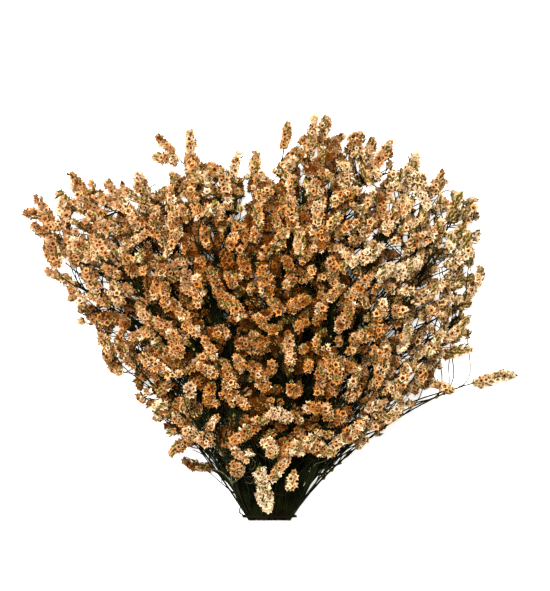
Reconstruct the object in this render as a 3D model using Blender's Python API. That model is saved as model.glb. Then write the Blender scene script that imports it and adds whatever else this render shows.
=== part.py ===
"""Dried statice: a bunch of dried sea lavender, laid down on a table.

The cut stem ends are at -Y, the flower heads fan out towards +Y, and +Z is up. The origin is
on the table under the middle of the bunch. The layout below counts in millimetres from the
middle of the cut, and the meshes are made in metres.
"""

import math
from dataclasses import dataclass, field
from random import Random

import bmesh
import bpy
import numpy as np
from mathutils import Matrix, Vector

MM = 0.001
SEED = 29

# Main stems at the neck: pitch in a row, rise from row to row, height of the lowest row, and
# how far below the cut the fan of stems would meet. Their roots flare until they all but touch.
NECK_PITCH = 3.35
ROW_RISE = 3.2
LOWEST_ROW = 2.85
STEM_ROOT_RADIUS = 1.65
STEM_RADIUS = 1.2
STEM_END_RADIUS = 0.75
FAN_APEX = 24.0
STEM_LIFT = 0.45
STEM_STRAIGHT = 0.36
STEM_SWEEP = 0.22
STEM_LOWEST = LOWEST_ROW + 1.0
# End spikes point away from here, give or take, and droop no more than this.
STEM_FOCUS = np.array((0.0, 20.0, 12.0))
STEM_FOCUS_STRAY = 0.35
STEM_DROOP = -0.05

# The tie round the neck: turns of thin cord, how far they lap, and room for the stems' spread.
TIE_CORD = 1.1
TIE_TURNS = 2
TIE_LAP = 0.8
TIE_PLACE = 2.6
TIE_ROOM = 0.3
TIE_SIDE_ROOM = 0.3
TIE_TOP_ROOM = 2.0
TIE_CORNER = 4.0
TIE_CORNER_POINTS = 4

# Stem tips, one list for each row of the neck, from left to right: across, along, up.
LOW_TIPS = (
    (-66, 44, 9), (-100, 98, 12), (-143, 164, 10), (-178, 222, 14), (-112, 232, 12),
    (30, 288, 16), (118, 246, 14), (150, 166, 10), (112, 102, 12),
)
FRINGE_TIPS = (
    (-78, 72, 34), (-124, 131, 30), (-168, 184, 36), (-150, 262, 40), (-98, 260, 52),
    (-60, 293, 44), (14, 299, 42), (68, 291, 46), (154, 242, 40), (168, 116, 34),
)
CROWN_TIPS = (
    (-84, 104, 74), (-132, 206, 72), (-122, 254, 66), (-24, 276, 74), (34, 304, 72),
    (91, 283, 76), (110, 276, 60), (142, 246, 76), (160, 190, 66), (106, 102, 66),
)
FRONT_TIPS = (
    (-62, 70, 112), (-84, 150, 118), (-52, 196, 126), (-30, 112, 138), (-4, 190, 140),
    (14, 138, 142), (46, 196, 132), (78, 226, 104), (84, 160, 116), (62, 84, 112),
)
STEM_TIPS = (LOW_TIPS, FRINGE_TIPS, CROWN_TIPS, FRONT_TIPS)
ROWS = len(STEM_TIPS)

# Flower spikes that give the bunch its outline: the tip across, along and up, the way the
# spike points, and its length.
OUTLINE_SPIKES = (
    ((-1, 11, 106), (0.22, -1.0, -0.1), 33), ((-77, 48, 60), (-0.8, -0.6, 0.0), 28),
    ((-52, 54, 96), (-0.6, -0.8, 0.1), 24), ((-183, 233, 46), (-0.9, 0.3, 0.2), 22),
    ((-176, 244, 30), (-0.6, 0.8, 0.1), 20), ((-84, 289, 48), (-0.7, 0.7, 0.0), 18),
    ((-90, 276, 58), (-1.0, 0.2, 0.0), 18), ((-55, 272, 70), (0.1, 1.0, 0.1), 22),
    ((-9, 277, 56), (0.2, 1.0, 0.1), 20), ((43, 302, 50), (0.3, 1.0, 0.1), 22),
    ((49, 287, 84), (0.0, 1.0, 0.3), 24), ((78, 287, 36), (0.3, 1.0, 0.0), 24),
    ((122, 264, 64), (0.5, 0.9, 0.1), 24), ((132, 256, 44), (0.7, 0.7, 0.1), 22),
    ((156, 213, 52), (1.0, 0.3, 0.1), 24), ((152, 200, 30), (1.0, 0.4, 0.0), 22),
    ((150, 130, 52), (1.0, 0.2, 0.1), 24), ((137, 99, 44), (0.8, -0.3, 0.1), 18),
    ((90, 78, 84), (0.8, -0.5, 0.0), 22), ((76, 64, 40), (0.7, -0.5, 0.0), 20),
    ((-28, 60, 122), (-0.7, -0.6, 0.3), 30), ((20, 62, 122), (0.6, 0.9, 0.1), 34),
)
OUTLINE_RADIUS = 6.2

# Low spikes that the bunch rests on: the middle across and along, and the heading in degrees.
# They lie lower than their own radius, so that their lowest florets are pressed flat.
RESTS = (
    (-118, 176, 150), (112, 150, 20), (-52, 232, 110),
    (70, 226, 70), (-58, 96, 215), (64, 88, 320),
)
REST_RADIUS = 6.2
REST_LENGTH = 26.0
REST_HEIGHT = 0.66 * REST_RADIUS

# The head: how far it reaches from the fan's apex at each azimuth in degrees, and its dome.
HEAD_OUTLINE = (
    (-44, 70), (-41, 95), (-39, 240), (-35, 310), (-28, 318), (-22, 300), (-16, 290),
    (-11, 308), (-5, 290), (1, 286), (4, 312), (9, 322), (16, 318), (25, 310), (31, 302),
    (35, 278), (38, 254), (41, 236), (43, 216), (44.5, 60),
)
HEAD_WIDTH = (-185.0, 175.0)
HEAD_LENGTH = (24.0, 305.0)
HEAD_MIDDLE = np.array((0.0, 160.0))
HEAD_CORE = np.array((0.0, 110.0, 40.0))
HEAD_RIM = 34.0
HEAD_RISE = 114.0
EDGE_STEP = 6.0
# Nearer the neck than this, spikes only hang over it from above.
HEAD_FROM = 58.0
NECK_CLEAR = 100.0
# Spikes lie in a shell under the dome, but for a share near the table.
SHELL_DEPTH = 44.0
LOW_SHARE = 0.17
LOW_TOP = 44.0
LOW_GAP = 2.0

# Flower spikes, and how their headings mix outward, away from the neck and at random.
SPIKE_COUNT = 204
SPIKE_LENGTH = (18.0, 36.0)
SPIKE_RADIUS = (5.8, 7.8)
SPIKE_HEADINGS = (0.5, 0.75, 0.85)
AWAY_SPREAD = np.array((1.0, 1.0, 0.6))
# A spike's girth follows a bulge of a sine that starts and ends part way up, over a least share.
TAPER_LEAST = 0.5
TAPER_FROM = 0.12
TAPER_SPAN = 0.74
TAPER_FULLNESS = 0.8
# Its rings of florets: how far apart, the fewest, where the first lies, and its turn in half steps.
FLORET_STEP = 4.3
FEWEST_RINGS = 4
FIRST_RING = 0.15
FIRST_TURN = 0.8
FLORET_REACH = (0.78, 1.14)
FLORET_SHIFT = 0.9

# Branchlets: how long, how low and how sharply bent they may be, and where they may fork.
TWIG_RADIUS = 0.62
TWIG_ROOT_RADIUS = 0.38
TWIG_REACH = (10.0, 84.0)
TWIG_LOWEST = 1.6
TWIG_BEND = 72.0
TWIG_LEAN = 0.35
TWIG_LEAD = 0.38
TWIG_ARRIVAL = 0.36
FORK_SPAN = (0.2, 0.94)
FORKS = 18
# The price of a fork grows with its length, its lean and the twigs that the stem has.
LEAN_PRICE = 1.9
CROWD_PRICE = 7.0

# Room: least gaps, tries, and how far a try may stray. A stem or outline spike strays further
# with each try: by one stray every so many, and by no more than so many in all.
CLEARANCE = 0.7
OWN_CLEARANCE = 0.8
FLOOR_GAP = 0.6
STEM_TRIES = 160
STEM_STRAY = 9.0
STEM_STRAY_TRIES = 20
STEM_STRAYS = 1.8
SPIKE_TRIES = 14
SPIKE_STRAY = 6.0
SPIKE_STRAY_TRIES = 12
SPIKE_STRAYS = 1.5
REST_STRAY = 8.0
FORK_TRIES = 8
SPREAD = np.array((1.0, 1.0, 0.35))
ROOM_SHARES = (0.15, 0.5, 0.85)
NO_SPRAY = -1

# The faceted solids: sides, rings, points of a twig's run that are tested, the share of a
# spike's radius that counts in the box, a hint for turning rings, and the floor slab's size.
SIDES = 3
STEM_RINGS = 10
TWIG_RINGS = 4
RUN_POINTS = 6
BOX_SHARE = 0.8
SIDE_HINT = (0.31, 0.2, -0.93)
FLOOR_SIZE = (0.5, 0.5, 0.02)


@dataclass
class Spike:
    """One flower spike: where it starts, which way it points, and its size."""

    base: np.ndarray
    way: np.ndarray
    length: float
    radius: float

    @property
    def tip(self):
        """The spike's far end."""
        return self.base + self.way * self.length

    def at(self, share):
        """The point of the spike's axis at a share of its length."""
        return self.base + self.way * (self.length * share)


@dataclass
class Twig:
    """A branchlet, as a cubic curve's four points, and the spike it carries."""

    curve: tuple
    spike: Spike


@dataclass
class Spray:
    """A main stem as a cubic curve, the spike at its end and its twigs."""

    curve: tuple
    spike: Spike
    twigs: list = field(default_factory=list)

    @property
    def spikes(self):
        """All the spray's spikes."""
        return [self.spike, *(twig.spike for twig in self.twigs)]


def unit(vector):
    """The vector at length one."""
    return vector / np.linalg.norm(vector)


def along(curve, t):
    """The point of a cubic curve at t, from 0 to 1."""
    a, b, c, d = curve
    s = 1.0 - t
    return a * s**3 + b * (3 * t * s * s) + c * (3 * t * t * s) + d * t**3


def heading(curve, t):
    """The direction of a cubic curve at t."""
    a, b, c, d = curve
    s = 1.0 - t
    return unit((b - a) * (s * s) + (c - b) * (2 * s * t) + (d - c) * (t * t))


def points_along(curve, count):
    """Evenly stepped points of a cubic curve, both ends included."""
    return [along(curve, i / (count - 1)) for i in range(count)]


def on_stem(curve, t):
    """The point at t on a stem as it is built, from straight pieces."""
    place = t * (STEM_RINGS - 1)
    i = min(int(place), STEM_RINGS - 2)
    low, high = (along(curve, k / (STEM_RINGS - 1)) for k in (i, i + 1))
    return low + (high - low) * (place - i)


def random_way(rng):
    """A random direction, even over the sphere."""
    up = rng.uniform(-1.0, 1.0)
    turn = rng.uniform(0.0, math.tau)
    flat = math.sqrt(1.0 - up * up)
    return np.array((flat * math.cos(turn), flat * math.sin(turn), up))


def random_shift(rng, most):
    """A random shift of up to most each way."""
    return np.array([rng.uniform(-most, most) for _ in range(3)])


def gaps_between(p0, p1, q0, q1):
    """The least distance from the segment p0-p1 to each of the segments q0-q1."""
    u, v, w = p1 - p0, q1 - q0, p0 - q0
    a, b, c = u @ u, v @ u, (v * v).sum(1)
    d, e = w @ u, (v * w).sum(1)
    s = np.clip((b * e - c * d) / np.maximum(a * c - b * b, 1e-9), 0.0, 1.0)
    t = np.clip((b * s + e) / c, 0.0, 1.0)
    s = np.clip((b * t - d) / a, 0.0, 1.0)
    return np.linalg.norm(w + s[:, None] * u - t[:, None] * v, axis=1)


class Thicket:
    """Every stem, twig and spike placed so far, as straight pieces with a radius."""

    MOST_PIECES = 6000
    LONGEST_PIECE = 40.0

    def __init__(self):
        """Makes room for the pieces."""
        self.start = np.zeros((self.MOST_PIECES, 3))
        self.end = np.zeros((self.MOST_PIECES, 3))
        self.radius = np.zeros(self.MOST_PIECES)
        self.owner = np.zeros(self.MOST_PIECES, int)
        self.count = 0

    def add(self, points, radius, owner):
        """Adds a run of straight pieces that belongs to a spray."""
        for p, q in zip(points, points[1:]):
            i = self.count
            self.start[i], self.end[i] = p, q
            self.radius[i], self.owner[i] = radius, owner
            self.count += 1

    def clear(self, points, radius, owner, is_spike):
        """True if a run keeps its distance from other sprays, and a spike from its own too."""
        n = self.count
        other = self.owner[:n] != owner
        near = np.ones(n, bool) if is_spike else other
        for p, q in zip(points, points[1:]):
            reach = np.linalg.norm(q - p) / 2 + radius + self.LONGEST_PIECE
            close = near & (np.abs(self.start[:n] - (p + q) / 2).max(1) < reach)
            if not close.any():
                continue
            gap = gaps_between(p, q, self.start[:n][close], self.end[:n][close])
            room = self.radius[:n][close] + radius
            room = np.where(other[close], room + CLEARANCE, room * OWN_CLEARANCE)
            if (gap < room).any():
                return False
        return True


def inside_head(point):
    """True if a point lies inside the head's outline, seen from above."""
    x, y = point[0], point[1] + FAN_APEX
    azimuths, reaches = zip(*HEAD_OUTLINE)
    reach = np.interp(math.degrees(math.atan2(x, y)), azimuths, reaches, left=0.0, right=0.0)
    return math.hypot(x, y) < reach


def head_top(x, y):
    """The height of the head's domed upper side over a point of the table."""
    offset = np.array((x, y)) - HEAD_MIDDLE
    far = np.linalg.norm(offset)
    edge = far
    while inside_head(HEAD_MIDDLE + offset / far * edge):
        edge += EDGE_STEP
    return HEAD_RIM + HEAD_RISE * math.sqrt(max(0.0, 1.0 - (far / edge) ** 2))


def neck_slots():
    """The stems' cut ends in the neck, row by row from the lowest, each with its tip."""
    for row, tips in enumerate(STEM_TIPS):
        for i, tip in enumerate(tips):
            across = (i - (len(tips) - 1) / 2) * NECK_PITCH
            yield np.array((across, 0.0, LOWEST_ROW + row * ROW_RISE)), np.array(tip, float)


def stem_curve(slot, tip, way):
    """A stem's curve from its slot in the neck, out along the fan and into its end spike."""
    reach = np.linalg.norm(tip - slot)
    middle = LOWEST_ROW + (ROWS - 1) / 2 * ROW_RISE
    lift = max(0.0, (tip[2] - middle) / reach) * STEM_LIFT
    start = unit(np.array((slot[0] / FAN_APEX, 1.0, lift)))
    last = tip - way * (STEM_SWEEP * reach)
    last[2] = max(last[2], STEM_LOWEST)
    return (slot, slot + start * (STEM_STRAIGHT * reach), last, tip)


def propose_stem(rng, slot, tip, stray):
    """A stem from its slot to about its tip, with a spike at its end."""
    tip = tip + random_shift(rng, STEM_STRAY) * stray
    way = unit(unit(tip - STEM_FOCUS) + STEM_FOCUS_STRAY * random_way(rng))
    way[2] = max(way[2], STEM_DROOP)
    way = unit(way)
    length, radius = rng.uniform(*SPIKE_LENGTH), rng.uniform(*SPIKE_RADIUS)
    base = tip - way * length
    base[2] = max(base[2], radius + FLOOR_GAP)
    return Spray(stem_curve(slot, base, way), Spike(base, way, length, radius))


def lay_stems(thicket, rng):
    """The main stems with their end spikes, each clear of those before it where there is room."""
    sprays = []
    for i, (slot, tip) in enumerate(neck_slots()):
        for attempt in range(STEM_TRIES):
            spray = propose_stem(rng, slot, tip, min(STEM_STRAYS, attempt / STEM_STRAY_TRIES))
            spike = spray.spike
            stem, head = points_along(spray.curve, STEM_RINGS), [spike.base, spike.tip]
            free = thicket.clear(stem, STEM_RADIUS, i, False)
            if free and thicket.clear(head, spike.radius, i, True):
                break
        thicket.add(stem, STEM_RADIUS, i)
        thicket.add(head, spike.radius, i)
        sprays.append(spray)
    return sprays


def lay_rests(sprays, thicket, rng):
    """The low spikes that carry the bunch, lying level."""
    for x, y, turn in RESTS:
        angle = math.radians(turn)
        way = np.array((math.cos(angle), math.sin(angle), 0.0))
        for attempt in range(SPIKE_TRIES):
            shift = random_shift(rng, REST_STRAY) * (1.0, 1.0, 0.0) * min(1, attempt)
            middle = np.array((x, y, REST_HEIGHT)) + shift
            spike = Spike(middle - way * REST_LENGTH / 2, way, REST_LENGTH, REST_RADIUS)
            if grow(sprays, thicket, spike):
                break


def lay_outline(sprays, thicket, rng):
    """The spikes that give the bunch its outline, each as near its place as there is room."""
    for tip, way, length in OUTLINE_SPIKES:
        way = unit(np.array(way, float))
        for attempt in range(STEM_TRIES):
            shift = random_shift(rng, SPIKE_STRAY) * min(SPIKE_STRAYS, attempt / SPIKE_STRAY_TRIES)
            base = np.array(tip) - way * length + shift
            if grow(sprays, thicket, Spike(base, way, length, OUTLINE_RADIUS)):
                break


def lay_out():
    """The whole bunch: its sprays with their twigs and spikes."""
    rng = Random(SEED)
    thicket = Thicket()
    sprays = lay_stems(thicket, rng)
    lay_rests(sprays, thicket, rng)
    lay_outline(sprays, thicket, rng)
    for _ in range(2 * SPIKE_COUNT):
        if sum(len(spray.spikes) for spray in sprays) < SPIKE_COUNT:
            fill(sprays, thicket, rng)
    return sprays


def fill(sprays, thicket, rng):
    """Grows one more spike where the head is emptiest, out of a few that would fit."""
    best, most = None, -1.0
    placed = [spike for spray in sprays for spike in spray.spikes]
    taken = np.array([spike.at(share) for spike in placed for share in ROOM_SHARES])
    for _ in range(SPIKE_TRIES):
        spike = propose_spike(rng)
        if spike is None:
            continue
        room = np.linalg.norm((taken - spike.at(0.5)) * SPREAD, axis=1).min()
        if room > most:
            found = find_fork(sprays, thicket, spike)
            if found:
                best, most = (found, spike), room
    if best:
        attach(sprays, thicket, *best)


def propose_spike(rng):
    """A spike at a random place in the head's shell, or None if it would leave the outline."""
    x, y = rng.uniform(*HEAD_WIDTH), rng.uniform(*HEAD_LENGTH)
    if not inside_head((x, y)):
        return None
    radius = rng.uniform(*SPIKE_RADIUS)
    if rng.random() < LOW_SHARE:
        z = rng.uniform(radius + LOW_GAP, LOW_TOP)
    else:
        z = head_top(x, y) - rng.uniform(0.0, SHELL_DEPTH)
    if y < HEAD_FROM and z < NECK_CLEAR:
        return None
    middle = np.array((x, y, z))
    outward = unit(middle - HEAD_CORE)
    away = unit(middle * AWAY_SPREAD + (0.0, FAN_APEX, 0.0))
    mix = zip(SPIKE_HEADINGS, (outward, away, random_way(rng)))
    way = unit(sum(share * part for share, part in mix))
    length = rng.uniform(*SPIKE_LENGTH)
    spike = Spike(middle - way * length / 2, way, length, radius)
    lowest = min(spike.base[2], spike.tip[2])
    if lowest < radius + FLOOR_GAP or not inside_head(spike.base) or not inside_head(spike.tip):
        return None
    return spike


def grow(sprays, thicket, spike):
    """Joins a spike to a stem if a twig can reach it. True if it did."""
    found = find_fork(sprays, thicket, spike)
    if found:
        attach(sprays, thicket, found, spike)
    return bool(found)


def find_fork(sprays, thicket, spike):
    """The spray and the twig's curve that carry a spike clear of all else, or None."""
    choices = []
    for i, spray in enumerate(sprays):
        for t in np.linspace(*FORK_SPAN, FORKS):
            gap = spike.base - on_stem(spray.curve, t)
            far = np.linalg.norm(gap)
            if TWIG_REACH[0] < far < TWIG_REACH[1]:
                lean = gap @ heading(spray.curve, t) / far
                if lean > TWIG_LEAN:
                    price = far * (LEAN_PRICE - lean) + CROWD_PRICE * len(spray.twigs)
                    choices.append((price, i, t))
    choices.sort()
    ends = [spike.base, spike.tip]
    if not choices or not thicket.clear(ends, spike.radius, NO_SPRAY, True):
        return None
    for _, i, t in choices[:FORK_TRIES]:
        curve = twig_curve(sprays[i].curve, t, spike)
        run = points_along(curve, RUN_POINTS)
        if twig_fits(curve, run, spike) and thicket.clear(run, TWIG_RADIUS, i, False):
            return i, curve
    return None


def twig_curve(stem, t, spike):
    """A twig's curve: along the stem at its fork, and along the spike at its end."""
    fork = on_stem(stem, t)
    reach = np.linalg.norm(spike.base - fork)
    lead = fork + heading(stem, t) * (TWIG_LEAD * reach)
    return (fork, lead, spike.base - spike.way * (TWIG_ARRIVAL * reach), spike.base)


def twig_fits(curve, run, spike):
    """True if a twig stays off the table and beside its own spike, and bends gently."""
    beside = gaps_between(spike.base, spike.tip, np.array(run[:-2]), np.array(run[1:-1]))
    if beside.min() < spike.radius + TWIG_RADIUS or min(p[2] for p in run) < TWIG_LOWEST:
        return False
    points = points_along(curve, TWIG_RINGS)
    ways = [unit(q - p) for p, q in zip(points, points[1:])] + [spike.way]
    straightest = min(a @ b for a, b in zip(ways, ways[1:]))
    return straightest > math.cos(math.radians(TWIG_BEND))


def attach(sprays, thicket, found, spike):
    """Adds a twig and its spike to a spray."""
    i, curve = found
    sprays[i].twigs.append(Twig(curve, spike))
    thicket.add(points_along(curve, RUN_POINTS), TWIG_RADIUS, i)
    thicket.add([spike.base, spike.tip], spike.radius, i)


def middle_of(sprays):
    """The middle of the bunch's box on the table, from its spikes and its cut."""
    low, high = np.zeros(2), np.zeros(2)
    for spike in (spike for spray in sprays for spike in spray.spikes):
        side = spike.radius * BOX_SHARE * np.sqrt(1.0 - spike.way[:2] ** 2)
        for end in (spike.base[:2], spike.tip[:2]):
            low, high = np.minimum(low, end - side), np.maximum(high, end + side)
    return np.array((*(low + high) / 2, 0.0))


def turned(side, old, new):
    """A direction after the least turn that takes the direction old to new."""
    both = old + new
    return side + new * (2.0 * (old @ side)) - both * ((both @ side) / (1.0 + old @ new))


def ring(point, frame, radii, turn):
    """Points round a centre: one for each radius, evenly turned."""
    found = []
    for i, radius in enumerate(radii):
        angle = turn + math.tau * i / len(radii)
        found.append(point + (frame[0] * math.cos(angle) + frame[1] * math.sin(angle)) * radius)
    return found


def stalk_rings(points, start_radius, end_radius, way):
    """Rings of a tapering stalk that ends pointing along way, and the last ring's frame."""
    last = len(points) - 1
    before = unit(points[1] - points[0])
    side = unit(np.cross(before, SIDE_HINT))
    result = []
    for i, point in enumerate(points):
        ahead = way if i == last else unit(points[i + 1] - points[max(i - 1, 0)])
        side = turned(side, before, ahead)
        before = ahead
        frame = (side, np.cross(ahead, side))
        radius = end_radius + (start_radius - end_radius) * (1.0 - i / last) ** 2
        result.append(ring(point, frame, [radius] * SIDES, 0.0))
    return result, frame


def spike_taper(share):
    """A spike's girth along its length: quickly full, blunt at the tip."""
    bulge = math.sin(math.pi * (TAPER_FROM + TAPER_SPAN * share)) ** TAPER_FULLNESS
    return TAPER_LEAST + (1.0 - TAPER_LEAST) * bulge


def spike_rings(spike, frame, rng):
    """Rings of a spike: outsized florets that stand out all round, each ring turned half way."""
    count = max(FEWEST_RINGS, round(spike.length / FLORET_STEP))
    result = []
    for i in range(count):
        share = (i + FIRST_RING) / count
        wide = spike.radius * spike_taper(share)
        radii = [wide * rng.uniform(*FLORET_REACH) for _ in range(SIDES)]
        florets = ring(spike.at(share), frame, radii, (i + FIRST_TURN) * math.pi / SIDES)
        result.append([f + spike.way * rng.uniform(-FLORET_SHIFT, FLORET_SHIFT) for f in florets])
    return result


def loft(name, rings, tip, stalk_count, materials):
    """A closed mesh through rings of equal count to a point. The first rings are stalk."""
    bm = bmesh.new()
    loops = [[bm.verts.new(Vector(p) * MM) for p in one] for one in rings]
    apex = bm.verts.new(Vector(tip) * MM)
    bm.faces.new(loops[0][::-1])
    for i, (low, high) in enumerate(zip(loops, loops[1:])):
        for j in range(SIDES):
            k = (j + 1) % SIDES
            for corners in ((low[j], low[k], high[j]), (low[k], high[k], high[j])):
                bm.faces.new(corners).material_index = int(i + 1 >= stalk_count)
    for j in range(SIDES):
        bm.faces.new((loops[-1][j], loops[-1][(j + 1) % SIDES], apex)).material_index = 1
    bmesh.ops.recalc_face_normals(bm, faces=bm.faces)
    mesh = bpy.data.meshes.new(name)
    bm.to_mesh(mesh)
    bm.free()
    for material in materials:
        mesh.materials.append(material)
    return bpy.data.objects.new(name, mesh)


def stem_body(name, spray, shift, materials, rng):
    """A spray's main stem with its end spike, cut square across the bunch at the neck."""
    points = points_along(spray.curve, STEM_RINGS)
    rings, frame = stalk_rings(points, STEM_ROOT_RADIUS, STEM_END_RADIUS, spray.spike.way)
    for corner in rings[0]:
        corner[1] = 0.0
    rings += spike_rings(spray.spike, frame, rng)
    moved = [[p - shift for p in one] for one in rings]
    return loft(name, moved, spray.spike.tip - shift, STEM_RINGS, materials)


def twig_body(name, twig, shift, materials, rng):
    """A twig with its spike, its root inside the stem."""
    points = points_along(twig.curve, TWIG_RINGS)
    rings, frame = stalk_rings(points, TWIG_ROOT_RADIUS, TWIG_RADIUS, twig.spike.way)
    rings += spike_rings(twig.spike, frame, rng)
    moved = [[p - shift for p in one] for one in rings]
    return loft(name, moved, twig.spike.tip - shift, TWIG_RINGS, materials)


def principled(name, colour, roughness):
    """A plain material."""
    material = bpy.data.materials.new(name)
    material.use_nodes = True
    shader = material.node_tree.nodes["Principled BSDF"]
    shader.inputs["Base Color"].default_value = (*colour, 1.0)
    shader.inputs["Roughness"].default_value = roughness
    shader.inputs["Metallic"].default_value = 0.0
    material.diffuse_color = (*colour, 1.0)
    return material


def applied(body):
    """A new mesh of a body with its modifiers applied."""
    bpy.context.view_layer.update()
    graph = bpy.context.evaluated_depsgraph_get()
    return bpy.data.meshes.new_from_object(body.evaluated_get(graph), depsgraph=graph)


def fuse(body, pieces):
    """Unions pieces into a body and removes them."""
    group = bpy.data.collections.new(body.name + "_pieces")
    for piece in pieces:
        group.objects.link(piece)
    union = body.modifiers.new("Fuse", "BOOLEAN")
    union.operation = "UNION"
    union.operand_type = "COLLECTION"
    union.collection = group
    mesh, old = applied(body), body.data
    body.modifiers.clear()
    body.data = mesh
    bpy.data.meshes.remove(old)
    for piece in pieces:
        bpy.data.objects.remove(piece)
    bpy.data.collections.remove(group)


def tie_path():
    """Points round the neck, across and up: a rectangle with round corners."""
    spread = 1.0 + (TIE_PLACE + TIE_CORD) / FAN_APEX
    room = STEM_ROOT_RADIUS + TIE_ROOM + TIE_CORD / 2
    widest = max(len(tips) for tips in STEM_TIPS)
    half_wide = (widest - 1) / 2 * NECK_PITCH * spread + room + TIE_SIDE_ROOM
    half_high = ((ROWS - 1) * ROW_RISE + TIE_TOP_ROOM) / 2 + room
    for quarter in range(4):
        centre_x = (half_wide - TIE_CORNER) * (1, -1, -1, 1)[quarter]
        centre_z = (half_high - TIE_CORNER) * (1, 1, -1, -1)[quarter]
        for step in range(TIE_CORNER_POINTS):
            angle = math.pi / 2 * (quarter + step / (TIE_CORNER_POINTS - 1))
            across = centre_x + TIE_CORNER * math.cos(angle)
            yield across, half_high + TIE_CORD / 2 + centre_z + TIE_CORNER * math.sin(angle)


def tie_turn(name, along_neck, shift, material):
    """One turn of the tie's cord as a mesh body in no collection."""
    curve = bpy.data.curves.new(name, "CURVE")
    curve.dimensions = "3D"
    curve.bevel_depth = TIE_CORD / 2 * MM
    curve.bevel_resolution = 0
    path = list(tie_path())
    spline = curve.splines.new("POLY")
    spline.points.add(len(path) - 1)
    spline.use_cyclic_u = True
    for point, (x, z) in zip(spline.points, path):
        point.co = (*((np.array((x, along_neck, z)) - shift) * MM), 1.0)
    cord = bpy.data.objects.new(name + "_path", curve)
    bpy.context.scene.collection.objects.link(cord)
    mesh = applied(cord)
    mesh.materials.append(material)
    turn = bpy.data.objects.new(name, mesh)
    turn.matrix_world = cord.matrix_world
    bpy.data.objects.remove(cord)
    return turn


def make_tie(bunch, shift):
    """The tie round the neck, hugging the outer stems, its turns fused."""
    material = principled("tie_cord", (0.06, 0.045, 0.025), 0.8)
    places = [TIE_PLACE + turn * TIE_CORD * TIE_LAP for turn in range(TIE_TURNS)]
    tie, *turns = [tie_turn("tie", place, shift, material) for place in places]
    bunch.objects.link(tie)
    fuse(tie, turns)


def make_spray(bunch, number, spray, shift, stem_green, floor, rng):
    """One spray, fused from its stem and twigs, and cut level where it meets the table."""
    name = f"spray_{number:02d}"
    warmth = rng.random()
    colour = (0.42 + 0.16 * warmth, 0.22 + 0.12 * warmth, 0.08 + 0.08 * warmth)
    materials = (stem_green, principled(name + "_florets", colour, 0.85))
    body = stem_body(name, spray, shift, materials, rng)
    bunch.objects.link(body)
    if spray.twigs:
        pieces = [twig_body("twig", twig, shift, materials, rng) for twig in spray.twigs]
        fuse(body, pieces)
    if min(vertex.co.z for vertex in body.data.vertices) < 0.0:
        cut = body.modifiers.new("Floor", "BOOLEAN")
        cut.operation = "DIFFERENCE"
        cut.object = floor


def floor_cutter(cutters):
    """A slab under the table's level."""
    bpy.ops.mesh.primitive_cube_add(size=1.0)
    floor = bpy.context.object
    floor.name = "floor"
    size = Vector(FLOOR_SIZE)
    floor.data.transform(Matrix.LocRotScale(Vector((0, 0, -size.z / 2)), None, size))
    for owner in floor.users_collection:
        owner.objects.unlink(floor)
    cutters.objects.link(floor)
    floor.hide_render = True
    floor.display_type = "WIRE"
    return floor


def main():
    """Builds the bunch."""
    for thing in list(bpy.data.objects):
        bpy.data.objects.remove(thing)
    bunch = bpy.data.collections.new("dried_statice")
    cutters = bpy.data.collections.new("cutters")
    bpy.context.scene.collection.children.link(bunch)
    bpy.context.scene.collection.children.link(cutters)
    floor = floor_cutter(cutters)
    sprays = lay_out()
    shift = middle_of(sprays)
    rng = Random(SEED)
    stem_green = principled("stem_green", (0.045, 0.05, 0.018), 0.75)
    for number, spray in enumerate(sprays, 1):
        make_spray(bunch, number, spray, shift, stem_green, floor, rng)
    make_tie(bunch, shift)


main()
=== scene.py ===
"""The finish of a bunch of dried statice that lies on a table.

The layout repeats the one that the faceted sprays were built from, so every fine stalk and
flower spike sits where its plain one is. It counts in millimetres from the middle of the cut,
with the flower heads towards +Y, and each mesh is then shifted and scaled into the frame.
"""

from __future__ import annotations

import logging
import math
from collections.abc import Iterator, Sequence
from dataclasses import dataclass, field, replace
from enum import Enum
from random import Random

import bmesh
import bpy
import numpy as np
from mathutils import Matrix, Vector


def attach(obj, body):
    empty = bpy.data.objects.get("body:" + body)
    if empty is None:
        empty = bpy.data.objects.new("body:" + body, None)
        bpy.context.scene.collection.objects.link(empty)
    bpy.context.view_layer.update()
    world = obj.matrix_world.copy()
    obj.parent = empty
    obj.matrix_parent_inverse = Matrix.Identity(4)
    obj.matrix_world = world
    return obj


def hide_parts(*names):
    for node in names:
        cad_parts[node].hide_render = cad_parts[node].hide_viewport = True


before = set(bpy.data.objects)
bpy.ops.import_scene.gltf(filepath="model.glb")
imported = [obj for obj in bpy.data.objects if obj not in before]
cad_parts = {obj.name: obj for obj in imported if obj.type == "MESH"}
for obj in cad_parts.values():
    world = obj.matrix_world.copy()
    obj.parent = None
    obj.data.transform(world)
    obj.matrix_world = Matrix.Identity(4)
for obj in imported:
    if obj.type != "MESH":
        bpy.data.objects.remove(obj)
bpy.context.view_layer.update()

LOG = logging.getLogger("dried_statice")
MM = 0.001
DOUBLE = 0.0005
SEED = 29
NO_SPRAY = -1
STEEP = 0.9
NUDGE = 0.01
PARALLEL = 1e-9
ACROSS = np.array((1.0, 0.0, 0.0))
UP = np.array((0.0, 0.0, 1.0))

BRACT_SLOT = 1
PETAL_SLOT = 2

Colour = tuple[float, float, float]
Span = tuple[float, float]
Place = tuple[float, float, float]
Curve = tuple[np.ndarray, np.ndarray, np.ndarray, np.ndarray]
Path = list[tuple[np.ndarray, float]]


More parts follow.
